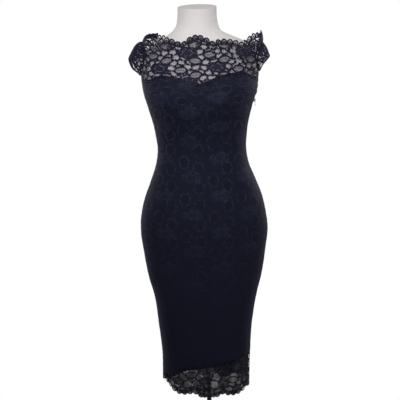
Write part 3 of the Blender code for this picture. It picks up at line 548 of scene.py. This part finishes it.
def below_neck(panel, angle, height):
    """How far below the neck's scalloped line a place lies, and the way round along that edge."""
    base, rises = (NECK_HEIGHT, NECK_SET) if panel.front else (BACK_NECK_HEIGHT, BACK_NECK_SET)
    way = panel.way_at(angle, base)
    lift = (NECK_LIFT + NECK_HEIGHT - base) * abs(np.cos(angle)) ** 4
    return base + lift + table_read(rises, way) + scallop_line(way) - height, way


def above_hem(panel, angle, height):
    way = panel.way_at(angle, HEM_HEIGHT)
    line = HEM_HEIGHT + table_read(HEM_SET, way if panel.front else -way)
    return height - (line + SCALLOP_RISE + PICOT_RISE - scallop_line(way)), way


def ease(angle, height):
    """Small unevenness of the hanging cloth, outwards, in millimetres."""
    slow = np.sin(height / 61 + 3 * np.sin(2 * angle)) * np.sin(3 * angle + height / 190)
    pulls = np.sin(height / 8.5 + 2 * np.sin(angle * 5)) * np.exp(-(((height - 1105) / 60) ** 2))
    return 0.35 * (1 + slow) + 0.22 * (1 + pulls)


def zip_flare(panel, way, height):
    """The open lace edges above the slider stand away from the body, a little wavy."""
    first, last = panel.to_seams(way, height)
    near = last if panel.front else first
    rise = np.clip((height - ZIP_SLIDER) / 16, 0, 1) * np.clip((1262 - height) / 12, 0, 1)
    wave = 2.6 + 1.4 * np.sin(height / 2.6 + (0 if panel.front else 2))
    return rise * wave * np.exp(-np.clip(near, 0, 99) / 7)


def cut_out(inside, low, high, step):
    """A panel's cloth between two heights, where it is positive, as flat points and triangles."""
    ways, heights = np.arange(-PANEL_REACH, PANEL_REACH + step, step), np.arange(low, high, step)
    return march(inside(*np.meshgrid(ways, heights)), ways, heights)


def lace_piece(name, panel, part, step, finish):
    """One stretch of a lace panel: its yoke, its body over the lining, or its hem."""
    low, high = {"yoke": (1208.0, 1366.0), "body": (400.0, 1250.0), "hem": (360.0, 492.0)}[part]
    cloth = cut_out(lambda *places: lace_at(panel, part, *places)[0], low, high + step, step)
    points, faces = drop_specks(*cloth)
    way, height = points.T
    _, net, cord, relief, drawing = lace_at(panel, part, way, height)
    outside = LACE_INSIDE / MM + relief + ease(panel.angle(way, height), height)
    outside = outside + LACE_WALL / MM * (part == "body") + zip_flare(panel, way, height)
    attributes = lace_attributes(way, height, float(part != "body"), net, cord, drawing)
    piece = mesh_piece(name, panel.place(way, height, outside), faces, finish, attributes)
    if part != "body":
        give_wall(piece, LACE_WALL)
    return piece, flat_cut(points, faces)


def lace_at(panel, part, way, height):
    """What the lace is at a place of a panel: solid, net, cord, relief and the drawing."""
    angle = panel.angle(way, height)
    edge = panel_edge(panel, way, height)
    drawing = Drawing(way, height)
    drawing.add_repeat(way, height)
    top, hem = lining_top(panel, angle) - LINING_LAP, lining_hem(panel, angle) + LINING_LAP
    if part == "body":
        solid = np.minimum(edge, np.minimum(top - height, height - hem))
        soft = 0.4 * np.clip(drawing.flower / 5, 0, 1) + 0.35 * bump(drawing.leaf, 3.2)
        binding = 0.5 * bump(edge - 1.6, 2.0) * (height < ZIP_TOP)
        relief = 0.15 + soft - 0.12 * bump(drawing.petal, 2.5) * (drawing.flower > 0) + binding
        return solid, np.zeros(way.shape), np.zeros(way.shape), relief, drawing
    if part == "yoke":
        below, edge_way = below_neck(panel, angle, height)
        limit = height - top
    else:
        below, edge_way = above_hem(panel, angle, height)
        limit = hem - height
    flat_from = np.where((np.cos(angle) < 0) & (not panel.front), 0.74, 0.88)
    plain = np.clip((abs(np.cos(angle)) - flat_from) / 0.08, 0, 1) * (part == "yoke")
    border = Border(edge_way, below, plain)
    cells = ground_cells(way, height, *CELLS[part])
    solid, net, cord = lace_drawing(way, height, border, cells, drawing)
    seam = np.minimum(edge, 1.7 + 0.3 * (height > 1240) - edge)
    solid = np.maximum(np.minimum(solid, edge), seam)
    solid = np.minimum(np.minimum(solid, limit), np.where(below < 0, border.solid, 99))
    if part == "yoke":
        corner = np.hypot(np.clip(10.0 - edge, 0, None), np.clip(6.0 - below, 0, None))
        solid = np.minimum(solid, 10.0 - corner)
    relief = 0.1 + 0.55 * cord + 0.35 * np.clip(drawing.flower / 4, 0, 1)
    return solid, net, cord, relief, drawing


def sleeve_surface(side, way, height, outside):
    """A point of the sleeve from its flat place: height 0 is its seam round the armhole."""
    turn, share = way / SLEEVE_FLAT_TURN, height / SLEEVE_FLAT_LENGTH
    cuff = np.array(side["cuff"], float)
    turns = np.radians(np.array(CUFF_TURNS, float))
    read = smooth_read(turns, cuff, np.gradient(cuff, turns, axis=0), abs(turn))
    forward = np.where(abs(turn) < PI / 2, cuff[2, 1] * abs(np.sin(turn)) ** 0.9, read[..., 1])
    end = np.stack([side["out"] * read[..., 0], -np.sign(turn) * forward, read[..., 2]], -1) * MM
    reach = ARMHOLE_TURN - SLEEVE_SEAM_GAP / SLEEVE_SEAM_REACH
    angle = side["angle"] - side["out"] * reach * np.sin(turn)
    seam_height = side["middle"] + (side["rise"] - SLEEVE_SEAM_GAP) * np.cos(turn)
    seam = DRESS.at(angle % (2 * PI), seam_height, np.full(turn.shape, LACE_INSIDE))
    full = np.clip(np.cos(turn * 0.52), 0, 1) * (1 - side["drop"] * np.clip(np.cos(turn), 0, 1) ** 2)
    puff = SLEEVE_PUFF * full * np.sin(PI * np.clip(share, 0, 1) ** 0.65)
    out = np.stack([np.full(turn.shape, side["out"] * 0.75), -0.75 * np.sin(turn), 0.9 * np.cos(turn)], -1)
    place = seam + (end - seam) * share[..., None] + puff[..., None] * out
    return place + out * np.asarray(outside)[..., None] * MM


def sleeve_at(name, way, height):
    """A sleeve's lace at a flat place, with its bound cuff."""
    drawing = Drawing(way, height)
    for x, y, size in SLEEVE_FLOWERS[name]:
        drawing.add_flower(way - x, height - y, 0, size)
    for x, y, tilt in SLEEVE_LEAVES[name]:
        drawing.add_leaf(way - x, height - y, math.radians(tilt), 0.85)
    cells = ground_cells(way, height, *CELLS["sleeve"])
    solid, net, cord = lace_drawing(way, height, None, cells, drawing)
    rim = height > CUFF_FROM
    solid = np.where(rim, CUFF_TO - height, solid)
    solid = np.maximum(solid, np.minimum(1.8 - height, height + 1))
    net = np.where(rim, 0.0, net)
    cord = np.where(rim, bump(height - CUFF_TO + 1.2, 1.1), cord)
    end = SLEEVE_END * SLEEVE_FLAT_TURN - abs(way)
    solid = np.minimum(np.maximum(solid, np.minimum(end, 2.0 - end)), end)
    relief = 0.1 + 0.5 * cord + 0.35 * np.clip(drawing.flower / 4, 0, 1)
    return np.minimum(solid, height + 0.01), net, cord, relief, drawing


def sleeve_piece(name, side_name, step, finish):
    side = SIDES[side_name]
    reach = SLEEVE_END * SLEEVE_FLAT_TURN
    ways = np.arange(-reach - step, reach + 2 * step, step)
    heights = np.arange(-step, 50.0, step)
    solid, *_ = sleeve_at(side_name, *np.meshgrid(ways, heights))
    points, faces = drop_specks(*march(solid, ways, heights))
    way, height = points.T
    _, net, cord, relief, drawing = sleeve_at(side_name, way, height)
    place = sleeve_surface(side, way, height, relief)
    attributes = lace_attributes(way, height, 1.0, net, cord, drawing)
    if side["out"] > 0:
        faces = faces[:, ::-1]
    piece = mesh_piece(name, place, faces, finish, attributes)
    return give_wall(piece, LACE_WALL), flat_cut(points, faces, place)


def sleeve_net_piece(name, side, finish):
    """The sleeve's fine net ground, just inside its lace."""
    ways = np.linspace(-SLEEVE_END, SLEEVE_END, 61) * SLEEVE_FLAT_TURN
    heights = np.linspace(0.6, 43.6, 9)
    points, faces = march(np.ones((len(heights), len(ways))), ways, heights)
    way, height = points.T
    place = sleeve_surface(side, way, height, np.full(len(way), -0.25))
    piece = mesh_piece(name, place, faces, finish, place_attribute(way, height, 1.0))
    return piece, flat_cut(points, faces, place)


def net_piece(name, panel, part, step, finish):
    """A plain net behind the open lace: fine ground behind the yoke, or a dark net behind the hem that
    paints the shade inside the skirt.
    """
    low, high, outside = {"yoke": (1210.0, 1362.0, 1.55), "hem": (360.0, 496.0, 0.15)}[part]

    def inside(way, height):
        angle = panel.angle(way, height)
        if part == "yoke":
            depth = below_neck(panel, angle, height)[0] + 0.5
            overlap = height - lining_top(panel, angle) + 6
        else:
            depth = above_hem(panel, angle, height)[0] + 1.5
            overlap = lining_hem(panel, angle) + 12 - height
        return np.minimum(np.minimum(depth, overlap), panel_edge(panel, way, height) - 0.5)

    points, faces = cut_out(inside, low, high, step)
    way, height = points.T
    place = panel.place(way, height, np.full(len(way), outside))
    return mesh_piece(name, place, faces, finish, place_attribute(way, height, 1.0)), flat_cut(points, faces)


def tape_line(panel, heights, deep):
    """The way round and the distance outside of a line on a zip tape, so deep behind its edge."""
    gap = 0.75 + (ZIP_SPREAD - 0.6) * zip_spread(heights) ** 0.8 + deep
    seam = np.interp(heights, panel.heights, panel.ends[:, 1 if panel.front else 0])
    outside = np.where(heights > ZIP_SLIDER + 4, 1.56, 1.5)
    return (seam - gap if panel.front else seam + gap), outside


def zip_tape(name, panel, finish):
    """One tape of the side zip, whose edge follows its row of teeth."""
    heights = np.concatenate([np.arange(ZIP_BOTTOM - 12, ZIP_SLIDER, 6), np.arange(ZIP_SLIDER, 1245.0, 3)])
    lines = (tape_line(panel, heights, deep) for deep in (0.0, 4.0, 9.0))
    points = np.concatenate([panel.place(way, heights, outside) for way, outside in lines])
    number = np.arange(len(points)).reshape(3, -1)
    quads = np.stack([number[:-1, :-1], number[1:, :-1], number[1:, 1:], number[:-1, 1:]], -1).reshape(-1, 4)
    if panel.front:
        quads = quads[:, ::-1]
    long = float(heights[-1] - heights[0]) * MM
    return mesh_piece(name, points, quads, finish), {"flat": (TAPE_CUT, long), "area": TAPE_SEEN * long}


def zip_teeth(name, finish):
    """Both rows of the coil: one turn of nylon, copied along each tape's edge."""
    bpy.ops.object.select_all(action="DESELECT")
    bpy.ops.mesh.primitive_torus_add(major_segments=8, minor_segments=4, major_radius=0.7 * MM,
                                     minor_radius=0.3 * MM)
    turn = bpy.context.active_object
    shape = np.array([vertex.co for vertex in turn.data.vertices])
    quads = np.array([list(face.vertices) for face in turn.data.polygons])
    bpy.data.objects.remove(turn)
    points, faces = [], []
    for panel in (front, back):
        shift = 0.0 if panel.front else TOOTH_PITCH / 2
        heights = np.arange(ZIP_BOTTOM + 2 + shift, 1240.0, TOOTH_PITCH)
        way, outside = tape_line(panel, heights, -0.35)
        spots = panel.place(way, heights, outside)
        ahead = unit(panel.place(way, heights + 1, outside) - spots)
        beside = unit(panel.place(way + 1, heights, outside) - spots)
        out = unit(np.cross(beside, ahead))
        for spot, up, side, face in zip(spots, ahead, beside, out):
            tilt = unit(up + 0.45 * side)
            across = unit(np.cross(face, tilt))
            faces.append(quads + len(points) * len(shape))
            points.append(spot + shape[:, :1] * across + shape[:, 1:2] * face + shape[:, 2:] * tilt)
    return mesh_piece(name, np.concatenate(points), np.concatenate(faces), finish)


def lining_piece(name, panel, step, finish):
    """The jersey lining, with its top and hem turned in and stitched."""

    def depths(way, height):
        angle = panel.angle(way, height)
        sides = np.minimum(*panel.to_seams(way, height))
        return lining_top(panel, angle) - height, height - lining_hem(panel, angle), sides

    points, faces = cut_out(lambda *places: np.min(depths(*places), axis=0), 398.0, 1262.0, step)
    way, height = points.T
    top, hem, sides = depths(way, height)
    turned_in = 0.35 * np.clip(8 - top, 0, 1) + 0.35 * np.clip(18 - hem, 0, 1)
    outside = LINING_INSIDE / MM + turned_in * 0.6 + 0.8 * ease(panel.angle(way, height), height)
    attributes = {**place_attribute(way, height, 0.0), "edge_depth": np.stack([top, hem, sides], 1)}
    piece = mesh_piece(name, panel.place(way, height, outside), faces, finish, attributes)
    return give_wall(piece, LINING_WALL), flat_cut(points, faces)


# Materials


def maths(operation, swapped=False):
    """A method of Value that makes one maths node."""

    def run(value, *others):
        values = (*others, value) if swapped else (value, *others)
        return value.finish.make("ShaderNodeMath", {"operation": operation}, *values)

    return run


class Value:
    """A shader socket that takes part in sums."""

    __add__ = __radd__ = maths("ADD")
    __sub__, __rsub__ = maths("SUBTRACT"), maths("SUBTRACT", swapped=True)
    __mul__ = __rmul__ = maths("MULTIPLY")
    __pow__, __abs__ = maths("POWER"), maths("ABSOLUTE")
    __gt__, __lt__ = maths("GREATER_THAN"), maths("LESS_THAN")
    most, least, sine = maths("MAXIMUM"), maths("MINIMUM"), maths("SINE")

    def __init__(self, finish, socket):
        self.finish, self.socket = finish, socket

    def smooth(self, low, high):
        settings = {"interpolation_type": "SMOOTHSTEP"}
        return self.finish.make("ShaderNodeMapRange", settings, self, low, high, 0.0, 1.0)

    def line(self, half_width):
        """1 where this is 0, falling to 0 past the half width."""
        return 1 - abs(self).smooth(half_width * 0.5, half_width)


class Finish:
    """A material being put together."""

    def __init__(self, name, roughness=0.6, metallic=0.0, specular=0.5, **constants):
        self.material = bpy.data.materials.new(name)
        self.material.use_nodes = True
        self.tree = self.material.node_tree
        self.shader = self.tree.nodes["Principled BSDF"]
        self.show(Roughness=roughness, Metallic=metallic, Specular_IOR_Level=specular, **constants)

    def make(self, kind, settings, *values, out=0):
        """A node of a kind, its settings made first, then the values or links of its sockets in order."""
        node = self.tree.nodes.new(kind)
        for key, value in settings.items():
            setattr(node, key, value)
        for socket, value in zip([s for s in node.inputs if s.enabled], values):
            self.put(socket, value)
        return Value(self, [s for s in node.outputs if s.enabled][out])

    def put(self, socket, value):
        if isinstance(value, Value):
            self.tree.links.new(value.socket, socket)
        else:
            socket.default_value = value

    def attribute(self, name):
        """A vector attribute of the cloth as its three numbers."""
        return self.parts(self.make("ShaderNodeAttribute", {"attribute_name": name}, out=1))

    def parts(self, vector):
        return [self.make("ShaderNodeSeparateXYZ", {}, vector, out=k) for k in range(3)]

    def place(self):
        return self.make("ShaderNodeTexCoord", {}, out=3)

    def vector(self, x, y, z=0.0):
        return self.make("ShaderNodeCombineXYZ", {}, x, y, z)

    def noise(self, place, scale, detail=3.0, rough=0.5):
        return self.make("ShaderNodeTexNoise", {"noise_dimensions": "3D"}, place, scale, detail, rough)

    def mix(self, share, first, second):
        """A colour between two."""
        return self.make("ShaderNodeMix", {"data_type": "RGBA"}, share, first, second)

    def bump(self, height, strength, distance):
        node = self.tree.nodes.new("ShaderNodeBump")
        for name, value in (("Strength", strength), ("Distance", distance), ("Height", height)):
            self.put(node.inputs[name], value)
        return Value(self, node.outputs["Normal"])

    def show(self, **inputs):
        for key, value in inputs.items():
            self.put(self.shader.inputs[key.replace("_", " ")], value)
        return self.material


def colour(*rgb):
    return (*rgb, 1.0)


def net_threads(way, height, slant, pitch, share):
    """1 on the two slanting sets of threads of a net."""
    across = abs(((way + height * slant) * pitch).sine())
    along = abs(((way - height * slant) * pitch).sine())
    return across.least(along) < share


def lace_finish():
    """Corded lace, nearly black navy: lighter flowers, fine outlines, painted sheen streaks and painted
    shade.
    """
    finish = Finish("Navy corded lace", roughness=0.7, specular=0.1, Sheen_Weight=0.12, Sheen_Roughness=0.4,
                    Sheen_Tint=colour(0.66, 0.68, 1.0))
    way, height, sheer = finish.attribute("cloth_place")
    flower, leaf, petal = finish.attribute("motif_depth")
    net, cord, rib = finish.attribute("thread_kind")
    flat = finish.vector(way, height)
    streak = finish.noise(finish.vector(way * 0.030, height * 0.26), 1.0, 3.0, 0.6)
    blotch = finish.noise(flat, 0.040, 2.0)
    specks = finish.noise(flat, 0.40, 1.0).smooth(0.55, 0.64)
    broken = finish.noise(flat, 0.11, 1.0).smooth(0.42, 0.54)
    curled = finish.noise(flat, 0.19, 3.0, 0.7).smooth(0.42, 0.62)
    # worn here is only a ramp with height: the marks show not at all below 540 mm and fully from 1010 mm up.
    worn = height.smooth(540.0, 1010.0)
    faded = finish.noise(flat, 0.018, 1.0).smooth(0.36, 0.60)
    shown = blotch.smooth(0.30, 0.50) * worn
    # Painted shade: the insides of the leaves are darkened as if sunk in shadow.
    painted_hollow_shade = leaf.smooth(0.5, 4.5) * shown * 0.42
    # Painted shadow: thin dark lines just outside the leaf and flower outlines, as if cast by the cords,
    # broken up by this noise.
    shadow_breaks = finish.noise(flat, 0.23, 1.0).smooth(0.42, 0.58)
    shade = (leaf + 1.4).line(1.5).most((flower + 1.8).line(1.8)) * shadow_breaks
    near = (leaf + 3.6).line(2.8).most((flower + 2.6).line(2.4))
    strokes = petal.line(1.2) * (flower > 0) * 0.35 * worn
    ribs = rib.line(0.9) * (leaf > 0)
    scallops = (flower - petal * 0.25).line(1.4) * broken
    wavy = (finish.noise(flat, 0.085, 2.0) - 0.5) * 9.0
    rims = (leaf + wavy).line(1.4).most(scallops) * (broken * 0.8 + 0.1) * shown.most(faded * worn * 0.4)
    drawn = rims.most(specks * near * shown).most(strokes).most(ribs * 0.2 * worn)
    fill = flower.smooth(-1.0, 3.5)
    band = height.smooth(1120.0, 1170.0) * (1 - height.smooth(1236.0, 1262.0))
    # Painted sheen: light horizontal streaks across the bust band, fainter over the rest of the upper body.
    painted_sheen_streaks = streak.smooth(0.50, 0.70) * (band * 0.75 + worn * 0.18)
    petals = fill * (0.15 + curled * 0.85) * worn * (0.35 + faded * 0.6)
    cloth = finish.mix(blotch, colour(0.0064, 0.0076, 0.0186), colour(0.0086, 0.0100, 0.0236))
    # Lighter flowers, the painted sheen, the painted shade, then the lighter cords, each laid over the
    # cloth.
    for share, *rgb in ((petals, 0.0175, 0.0180, 0.0430), (painted_sheen_streaks, 0.0215, 0.0210, 0.0460),
                        (painted_hollow_shade.most(shade * worn * 0.8), 0.0042, 0.0052, 0.0125),
                        (drawn, 0.0290, 0.0310, 0.0560)):
        cloth = finish.mix(share, cloth, colour(*rgb))
    motif = fill * (1 - cord * 0.75) * height.smooth(700.0, 900.0)
    open_work = finish.mix(motif, colour(0.0108, 0.0108, 0.0215), colour(0.0175, 0.0170, 0.0345))
    base = finish.mix(sheer, cloth, open_work)
    strands = net_threads(way, height, 0.58, 4.2, 0.07).most(ribs)
    alpha = 1 - net * (1 - strands) * sheer
    threads = (way * 7.0).sine() * (height * 7.0).sine()
    relief = drawn.most(cord * sheer) * 0.8 + fill * 0.3 + streak * 0.4 + threads * 0.08
    return finish.show(Base_Color=base, Roughness=0.74 - cord * 0.15, Alpha=alpha,
                       Normal=finish.bump(relief, 0.6, 0.0009))


def ground_net_finish():
    """The fine net that the lace is worked on."""
    finish = Finish("Fine net ground", roughness=0.8, specular=0.04)
    way, height, _ = finish.attribute("cloth_place")
    threads = net_threads(way, height, 0.6, 3.4, 0.29)
    tone = finish.noise(finish.vector(way, height), 0.06, 2.0)
    base = finish.mix(tone, colour(0.062, 0.046, 0.125), colour(0.086, 0.068, 0.165))
    return finish.show(Base_Color=base, Alpha=threads)


def hem_shade_net_finish():
    """Painted shade: a dark net behind the hem's lace standing for the shade inside the skirt, a close knit
    with pinholes between its threads.
    """
    finish = Finish("Dark net of painted skirt shade", roughness=0.75, specular=0.05)
    way, height, _ = finish.attribute("cloth_place")
    holes = (way * 2.6).sine() * (height * 2.6).sine() > 0.62
    tone = finish.noise(finish.vector(way, height), 0.035, 2.0).smooth(0.40, 0.66)
    base = finish.mix(tone, colour(0.030, 0.031, 0.037), colour(0.046, 0.047, 0.054))
    return finish.show(Base_Color=base, Alpha=1 - holes * (0.12 + tone * 0.55))


def tape_finish():
    """Woven tape of the zip."""
    finish = Finish("Woven zip tape", roughness=0.8, specular=0.05)
    _, y, z = finish.parts(finish.place())
    weave = (z * 6200).sine() * ((y + z) * 5200).sine()
    base = finish.mix(weave * 0.5 + 0.5, colour(0.006, 0.006, 0.011), colour(0.012, 0.012, 0.020))
    return finish.show(Base_Color=base, Normal=finish.bump(weave, 0.3, 0.0002))


def lining_finish():
    """Fine jersey with its turned edges stitched."""
    finish = Finish("Navy jersey lining", roughness=0.75, specular=0.04)
    way, height, _ = finish.attribute("cloth_place")
    top, hem, _ = finish.attribute("edge_depth")
    knit = (way * 5.2).sine() * 0.6 + (height * 7.0 + (way * 5.2).sine()).sine() * 0.4
    stitches = ((way * 2.1).sine() > -0.3) * (top - 7.0).line(0.7).most((hem - 17.0).line(0.7))
    tone = finish.noise(finish.vector(way, height), 0.03, 3.0)
    base = finish.mix(tone, colour(0.0078, 0.0084, 0.0160), colour(0.0100, 0.0108, 0.0205))
    base = finish.mix(stitches, base, colour(0.020, 0.021, 0.036))
    return finish.show(Base_Color=base, Normal=finish.bump(knit * 0.4 + stitches, 0.5, 0.0004))


def form_finish():
    """Pale grey jersey drawn tight over the form."""
    finish = Finish("Pale grey form jersey", roughness=0.85, specular=0.25, Sheen_Weight=0.08)
    place = finish.place()
    x, _, z = finish.parts(place)
    knit = (x * 3900).sine() * (z * 4300).sine()
    tone = finish.noise(place, 14.0, 3.0)
    base = finish.mix(tone, colour(0.665, 0.632, 0.625), colour(0.715, 0.682, 0.675))
    return finish.show(Base_Color=base, Normal=finish.bump(knit, 0.25, 0.0003))


def metal_finish(name, rgb, roughness):
    """Polished zip metal with faint wear."""
    finish = Finish(name, roughness=roughness, metallic=1.0)
    wear = finish.noise(finish.place(), 900.0, 4.0)
    base = finish.mix(wear, colour(*(0.86 * c for c in rgb)), colour(*rgb))
    scratched = finish.bump(wear, 0.15, 0.0002)
    return finish.show(Base_Color=base, Roughness=roughness + wear * 0.2, Normal=scratched)


def lacquer_finish():
    """Black lacquered steel, slightly pebbled."""
    finish = Finish("Black lacquered steel", roughness=0.35, specular=0.5, Coat_Weight=0.25)
    place = finish.place()
    pebble = finish.noise(place, 1400.0, 2.0)
    dust = finish.noise(place, 22.0, 4.0)
    base = finish.mix(dust, colour(0.010, 0.010, 0.011), colour(0.022, 0.022, 0.024))
    pebbled = finish.bump(pebble, 0.12, 0.0002)
    return finish.show(Base_Color=base, Roughness=0.28 + dust * 0.2, Normal=pebbled)


def coil_finish():
    """Dark nylon of the zip's coil."""
    finish = Finish("Dark zip coil", roughness=0.45, specular=0.4)
    tone = finish.noise(finish.place(), 700.0, 2.0)
    return finish.show(Base_Color=finish.mix(tone, colour(0.006, 0.006, 0.011), colour(0.014, 0.014, 0.024)))


def floor_finish():
    """Pale, faintly sheer floor that fades out round the stand."""
    finish = Finish("Pale studio floor", roughness=0.9, specular=0.1)
    place = finish.place()
    x, y, _ = finish.parts(place)
    tone = finish.noise(place, 3.0, 2.0)
    base = finish.mix(tone, colour(0.86, 0.86, 0.86), colour(0.90, 0.90, 0.90))
    away = (x * x + y * y) ** 0.5
    return finish.show(Base_Color=base, Alpha=(1 - away.smooth(0.34, 0.68)) * 0.3)


# The form and its stand


def form_cover(finish):
    """The torso's cover, from its underside to the sloping top of the neck."""
    edge, drawn_in = np.array(FORM_EDGE).T * MM
    heights = np.concatenate([edge, np.arange(832, 1330, 9) * MM, np.arange(1330, 1426, 3) * MM, [FORM_TOP]])
    inset = np.interp(heights, edge, drawn_in)
    angles = np.arange(FORM_TURNS) * 2 * PI / FORM_TURNS
    rings = FORM.at(angles[None], heights[:, None], -inset[:, None])
    tilt = NECK_TILT * np.clip((heights - NECK_TILT_FROM) / (FORM_TOP - NECK_TILT_FROM), 0, 1)
    rings[:, :, 2] = heights[:, None] + tilt[:, None] * rings[:, :, 1]
    number = np.arange(len(heights) * FORM_TURNS).reshape(-1, FORM_TURNS)
    right = np.roll(number, -1, axis=1)
    quads = np.stack([number[:-1], right[:-1], right[1:], number[1:]], -1).reshape(-1, 4)
    faces = quads.tolist() + [number[0][::-1].tolist(), number[-1].tolist()]
    made = mesh_piece("form_cover", rings.reshape(-1, 3), faces, finish)
    made.data.set_sharp_from_angle(angle=math.radians(50))
    return made


# Putting it together


def state_cloth(piece):
    """Puts a cloth on the root body."""
    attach(piece, "root")


front, back = Panel(FRONT), Panel(BACK)
lace, lining, jersey = lace_finish(), lining_finish(), form_finish()
silver = metal_finish("Silver zip metal", (0.80, 0.79, 0.77), 0.22)
black_steel, coil = lacquer_finish(), coil_finish()
dark_shade_net, ground_net, woven = hem_shade_net_finish(), ground_net_finish(), tape_finish()

for side_name, panel in (("front", front), ("back", back)):
    yoke, yoke_cut = lace_piece(f"lace_{side_name}_yoke", panel, "yoke", 1.15, lace)
    body, body_cut = lace_piece(f"lace_{side_name}_body", panel, "body", 2.4, lace)
    hem, hem_cut = lace_piece(f"lace_{side_name}_hem", panel, "hem", 1.2, lace)
    inner, inner_cut = lining_piece(f"lining_{side_name}_panel", panel, 7.0, lining)
    # The dark net behind the hem paints the shade inside the skirt.
    net, net_cut = net_piece(f"hem_shade_net_{side_name}", panel, "hem", 5.0, dark_shade_net)
    ground, ground_cut = net_piece(f"yoke_net_{side_name}", panel, "yoke", 4.0, ground_net)
    tape, tape_cut = zip_tape(f"zip_tape_{side_name}", panel, woven)
    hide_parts(f"lace_{side_name}")
    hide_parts(f"lining_{side_name}")
    state_cloth(inner)
    state_cloth(body)
    state_cloth(yoke)
    state_cloth(hem)
    state_cloth(net)
    state_cloth(ground)
    state_cloth(tape)
for side_name, side in SIDES.items():
    sleeve, sleeve_cut = sleeve_piece(f"cap_sleeve_{side_name}", side_name, 1.15, lace)
    ground, ground_cut = sleeve_net_piece(f"sleeve_net_{side_name}", side, ground_net)
    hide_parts(f"sleeve_{side_name}")
    state_cloth(sleeve)
    state_cloth(ground)
for piece, slot, node in ((zip_teeth("zip_teeth", coil), "zip_coil", "zip_chain"),
                          (form_cover(jersey), "form_cover", "form_torso")):
    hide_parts(node)
    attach(piece, "root")

for node, finish in (("zip_slider", silver), ("zip_pull", silver), ("stand_pole", black_steel),
                     ("stand_base", black_steel)):
    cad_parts[node].data.materials.clear()
    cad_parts[node].data.materials.append(finish)

# Studio

bpy.ops.object.select_all(action="DESELECT")
bpy.ops.mesh.primitive_circle_add(vertices=96, radius=0.69, fill_type="NGON")
floor = bpy.context.active_object
floor.name = "studio_floor"
floor.data.materials.append(floor_finish())

scene = bpy.context.scene
world = bpy.data.worlds.new("Studio")
scene.world = world
world.use_nodes = True
nodes, links = world.node_tree.nodes, world.node_tree.links
lit, seen = nodes["Background"], nodes.new("ShaderNodeBackground")
for background, strength in ((lit, 0.17), (seen, 1.0)):
    background.inputs["Color"].default_value = colour(1.0, 1.0, 1.0)
    background.inputs["Strength"].default_value = strength
rays, either = nodes.new("ShaderNodeLightPath"), nodes.new("ShaderNodeMixShader")
links.new(rays.outputs["Is Camera Ray"], either.inputs["Fac"])
links.new(lit.outputs["Background"], either.inputs[1])
links.new(seen.outputs["Background"], either.inputs[2])
links.new(either.outputs["Shader"], nodes["World Output"].inputs["Surface"])

LIGHTS = (
    # name, place, size, watts, spread in degrees, height aimed at
    ("key", (-0.35, -1.5, 2.15), 0.9, 4.0, 66, 1.32),
    ("fill", (1.9, -2.2, 2.0), 1.5, 4.2, 80, 1.1),
    ("rim_right", (-1.9, 1.5, 1.7), 1.2, 4.5, 90, 1.1),
    ("rim_left", (1.9, 1.5, 1.7), 1.2, 6.4, 90, 1.1),
)
for name, place, size, energy, spread, aim_height in LIGHTS:
    light = bpy.data.lights.new(name, "AREA")
    light.size = size
    light.energy = energy
    light.spread = math.radians(spread)
    lamp = bpy.data.objects.new(name, light)
    scene.collection.objects.link(lamp)
    lamp.location = place
    lamp.visible_camera = False
    aim = Vector((0, 0, aim_height)) - lamp.location
    lamp.rotation_euler = aim.to_track_quat("-Z", "Y").to_euler()

FRAME_WIDTH, FOCAL_LENGTH, CAMERA_SHIFT = 400, 914, -3  # in pixels of the render
CAMERA_PLACE, CAMERA_PITCH, CAMERA_ROLL = (0, -2.5, 1.341), math.radians(80), -math.atan(0.0314)
camera = bpy.data.cameras.new("Camera")
camera.sensor_width = 36
camera.lens = FOCAL_LENGTH * camera.sensor_width / FRAME_WIDTH
camera.shift_x = CAMERA_SHIFT / FRAME_WIDTH
viewer = bpy.data.objects.new("Camera", camera)
scene.collection.objects.link(viewer)
turned = Matrix.Rotation(CAMERA_PITCH, 4, "X") @ Matrix.Rotation(CAMERA_ROLL, 4, "Z")
viewer.matrix_world = Matrix.Translation(CAMERA_PLACE) @ turned
scene.camera = viewer
scene.view_settings.view_transform = "Standard"
